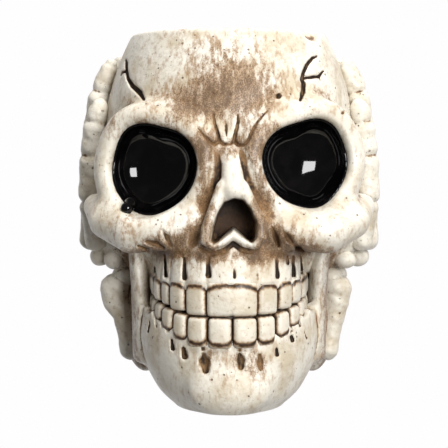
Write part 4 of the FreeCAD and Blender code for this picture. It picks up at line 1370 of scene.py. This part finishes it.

# %% [markdown]
# ## Putting it together
#
# Each sculpted piece stands in for its part of the imported design and is given a finish of its own. The
# pipe, sleeve and stem are exact round work already, so the design's own shapes are shown, with a finish
# each.
# %% Finishes, places and bodies
STAINS = [
    (-1, 94, 14, 6, 1.1), (3, 101, 13, 6, 0.55), (-6, 109, 20, 6, 0.35), (-12, 91, 8, 4, 0.7),
    (9.5, 62, 3.5, 12, 1.0), (13, 51, 5, 4, 0.9), (-7, 63, 3, 12, 0.95), (-12, 52, 5, 5, 0.8),
    (0, 79, 9, 3.5, 0.7), (-8, 78, 3.5, 5, 0.6), (8, 79, 3.5, 5, 0.6), (-20, 50, 6, 4, 0.8),
    (18, 51, 7, 5, 0.8), (-14, 82, 10, 3, 0.5), (12, 84, 8, 4, 0.5), (-24, 86, 9, 2.5, 0.5),
    (-36, 92, 4, 9, 0.5), (36, 92, 5, 7, 0.4), (-33, 56, 7, 6, 0.35), (0, 47, 18, 2.5, 0.5),
    (-24, 47.5, 7, 2.2, 0.9), (24, 47.5, 8, 2.2, 0.9), (-6, 47, 4, 2, 0.8), (7, 47, 4, 2, 0.8),
    (3, 17, 5, 5, 0.5), (9, 15, 4, 5, 0.5), (-7, 17, 4, 5, 0.5),
]


def dabbed_and_shaded(piece):
    """Paints brown dabs on the face and near black in the nose and sockets, both with some painted shade."""
    at = points_of(piece)
    x, y, z = at.T
    front = np.clip((-18 - y) / 8, 0, 1)
    stain_and_shade = np.zeros(len(at))
    for mx, mz, rx, rz, much in STAINS:
        stain_and_shade += much * np.exp(-(((x - mx) / rx) ** 2) - ((z - mz) / rz) ** 2)
    # Painted shade: brown in the hollows beside the jaw, where the forearms meet the head.
    shade_beside_jaw = np.exp(-(((np.abs(x) - 31) / 5) ** 2))
    shade_beside_jaw = shade_beside_jaw * np.clip((51 - z) / 6, 0, 1) * np.clip((y + 24) / 6, 0, 1)
    paint(piece, "stain_and_shade", np.maximum(np.clip(stain_and_shade, 0, 1.2) * front, 0.75 * shade_beside_jaw))
    dark_paint_and_shade = np.zeros(len(at))
    for name, side in SIDES.items():
        radius, edge, depth = eye_space(x, y, z, EYES[name], side)
        inside = np.clip((edge + 1.3 - radius) / 1.8, 0, 1) * (depth > -7) * (depth < 15)
        dark_paint_and_shade = np.maximum(dark_paint_and_shade, inside * np.clip((depth + 0.8) / 1.6, 0, 1))
    hole = inside_outline(NOSE_HOLE, x, z)
    # Near black paint fills the nose; painted shade makes its upper inside blacker than its lower part.
    lower = np.clip((z - 53) / 7, 0, 1)
    nose = np.clip((0.9 - hole) / 1.8, 0, 1) * np.clip((y + 46.5) / 2.5, 0, 1) * (y < -30)
    dark_paint_and_shade = np.maximum(dark_paint_and_shade, nose * (0.38 + 0.5 * lower))
    # Painted shade: the bone behind the teeth, seen through their gaps, is made near black.
    arch = np.hypot(x / ARCH[0], (y - ARCH_Y) / ARCH[1])
    shaded_behind_teeth = (arch < 0.96) & (y < -14) & (z > 22) & (z < 39.5)
    dark_paint_and_shade = np.maximum(dark_paint_and_shade, np.where(shaded_behind_teeth, 0.9, 0))
    # Painted shade: a little browner all over inside the bowl.
    within = (y > -25) & (np.hypot(x / 30, (y - 8) / 28) < 1.06) & (z > 40)
    dark_paint_and_shade = np.maximum(dark_paint_and_shade, np.where(within, 0.10, 0))
    paint(piece, "dark_paint_and_shade", dark_paint_and_shade)


dabbed_and_shaded(skull)
dabbed_and_shaded(mandible)
BONES = [("skull_casting", skull, cast_bone, "cast_bone"), ("mandible", mandible, jaw_bone, "cast_bone")]
BONES += [
    ("upper_teeth", upper_teeth, tooth_bone, "tooth_bone"),
    ("lower_teeth", lower_teeth, tooth_bone, "tooth_bone"),
]
BONES += [(f"{name}_eye_gloss", piece, gloss_black(), "eye_gloss") for name, piece in eye_gloss.items()]
BONES += [(name, piece, hand_bone, "hand_bone") for name, piece in hand_pieces.items()]
for node_name, piece, material, slot_name in BONES:
    piece.data.materials.append(material)
    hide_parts(node_name)
    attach(piece, "root")
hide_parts("air_stone")
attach(air_stone, "stone")
for node_name, material in (
    ("air_pipe", clear_tube()), ("coupling_sleeve", milky_silicone()), ("stone_stem", black_plastic()),
):
    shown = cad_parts[node_name]
    shown.data.materials.clear()
    shown.data.materials.append(material)
report(f"{len(BONES) + 1} pieces replace the design's, 3 are shown as designed")

# %% [markdown]
# ## Where it stands
#
# The camera looks the skull in the eyes from half a metre, through a long lens, as a shop would show it. The
# studio is white and brightest behind the skull, so that light wraps round its sides. One window to the
# right and above shapes the face. A second small one is the only lamp that the black eyes mirror.
# %% Camera
GAZE_HEIGHT, DISTANCE, FOCAL_LENGTH, LOOK_DOWN = 0.072, 0.520, 130.2, 1.87
scene = bpy.context.scene
lens = bpy.data.cameras.new("camera")
lens.lens = FOCAL_LENGTH
lens.clip_start, lens.clip_end = 0.01, 10
camera = bpy.data.objects.new("camera", lens)
camera.location = (-0.0016, -DISTANCE, GAZE_HEIGHT)
camera.rotation_euler = (math.radians(90 - LOOK_DOWN), 0, 0)
scene.collection.objects.link(camera)
scene.camera = camera

# %% Studio
world = bpy.data.worlds.new("white studio")
scene.world = world
world.use_nodes = True
sky = world.node_tree
direction = sky.nodes.new("ShaderNodeTexCoord")
parts = sky.nodes.new("ShaderNodeSeparateXYZ")
sky.links.new(direction.outputs["Generated"], parts.inputs[0])
behind = sky.nodes.new("ShaderNodeMapRange")
behind.interpolation_type = "SMOOTHSTEP"
for socket, number in (("From Min", -0.1), ("From Max", 0.75), ("To Min", 0.10), ("To Max", 1.0)):
    behind.inputs[socket].default_value = number
sky.links.new(parts.outputs["Y"], behind.inputs["Value"])
seen = sky.nodes.new("ShaderNodeLightPath")
brighter = sky.nodes.new("ShaderNodeMath")
brighter.operation = "MAXIMUM"
sky.links.new(behind.outputs["Result"], brighter.inputs[0])
sky.links.new(seen.outputs["Is Camera Ray"], brighter.inputs[1])
sky.links.new(brighter.outputs[0], sky.nodes["Background"].inputs["Strength"])
sky.nodes["Background"].inputs["Color"].default_value = (1.0, 0.99, 0.995, 1)

# %% Lights
LIT_POINT = (0, 0, 0.06)


def soft_light(name, place, size, power, mirrored=False):
    """A square lamp that faces the middle of the skull. Gloss shows it only if it is to be mirrored."""
    data = bpy.data.lights.new(name, "AREA")
    data.size, data.energy = size, power
    lamp = bpy.data.objects.new(name, data)
    lamp.location = place
    lamp.visible_glossy = mirrored
    lamp.rotation_euler = (Vector(LIT_POINT) - Vector(place)).to_track_quat("-Z", "Y").to_euler()
    scene.collection.objects.link(lamp)


soft_light("window", (0.34, -0.50, 0.68), 0.24, 5.6)
soft_light("panes", (0.235, -0.70, 0.135), 0.25, 4.9, mirrored=True)
soft_light("ceiling", (0.0, -0.05, 0.75), 0.6, 4.0)
soft_light("room", (-0.6, -0.75, 0.10), 0.6, 0.6)
scene.view_settings.view_transform = "Standard"
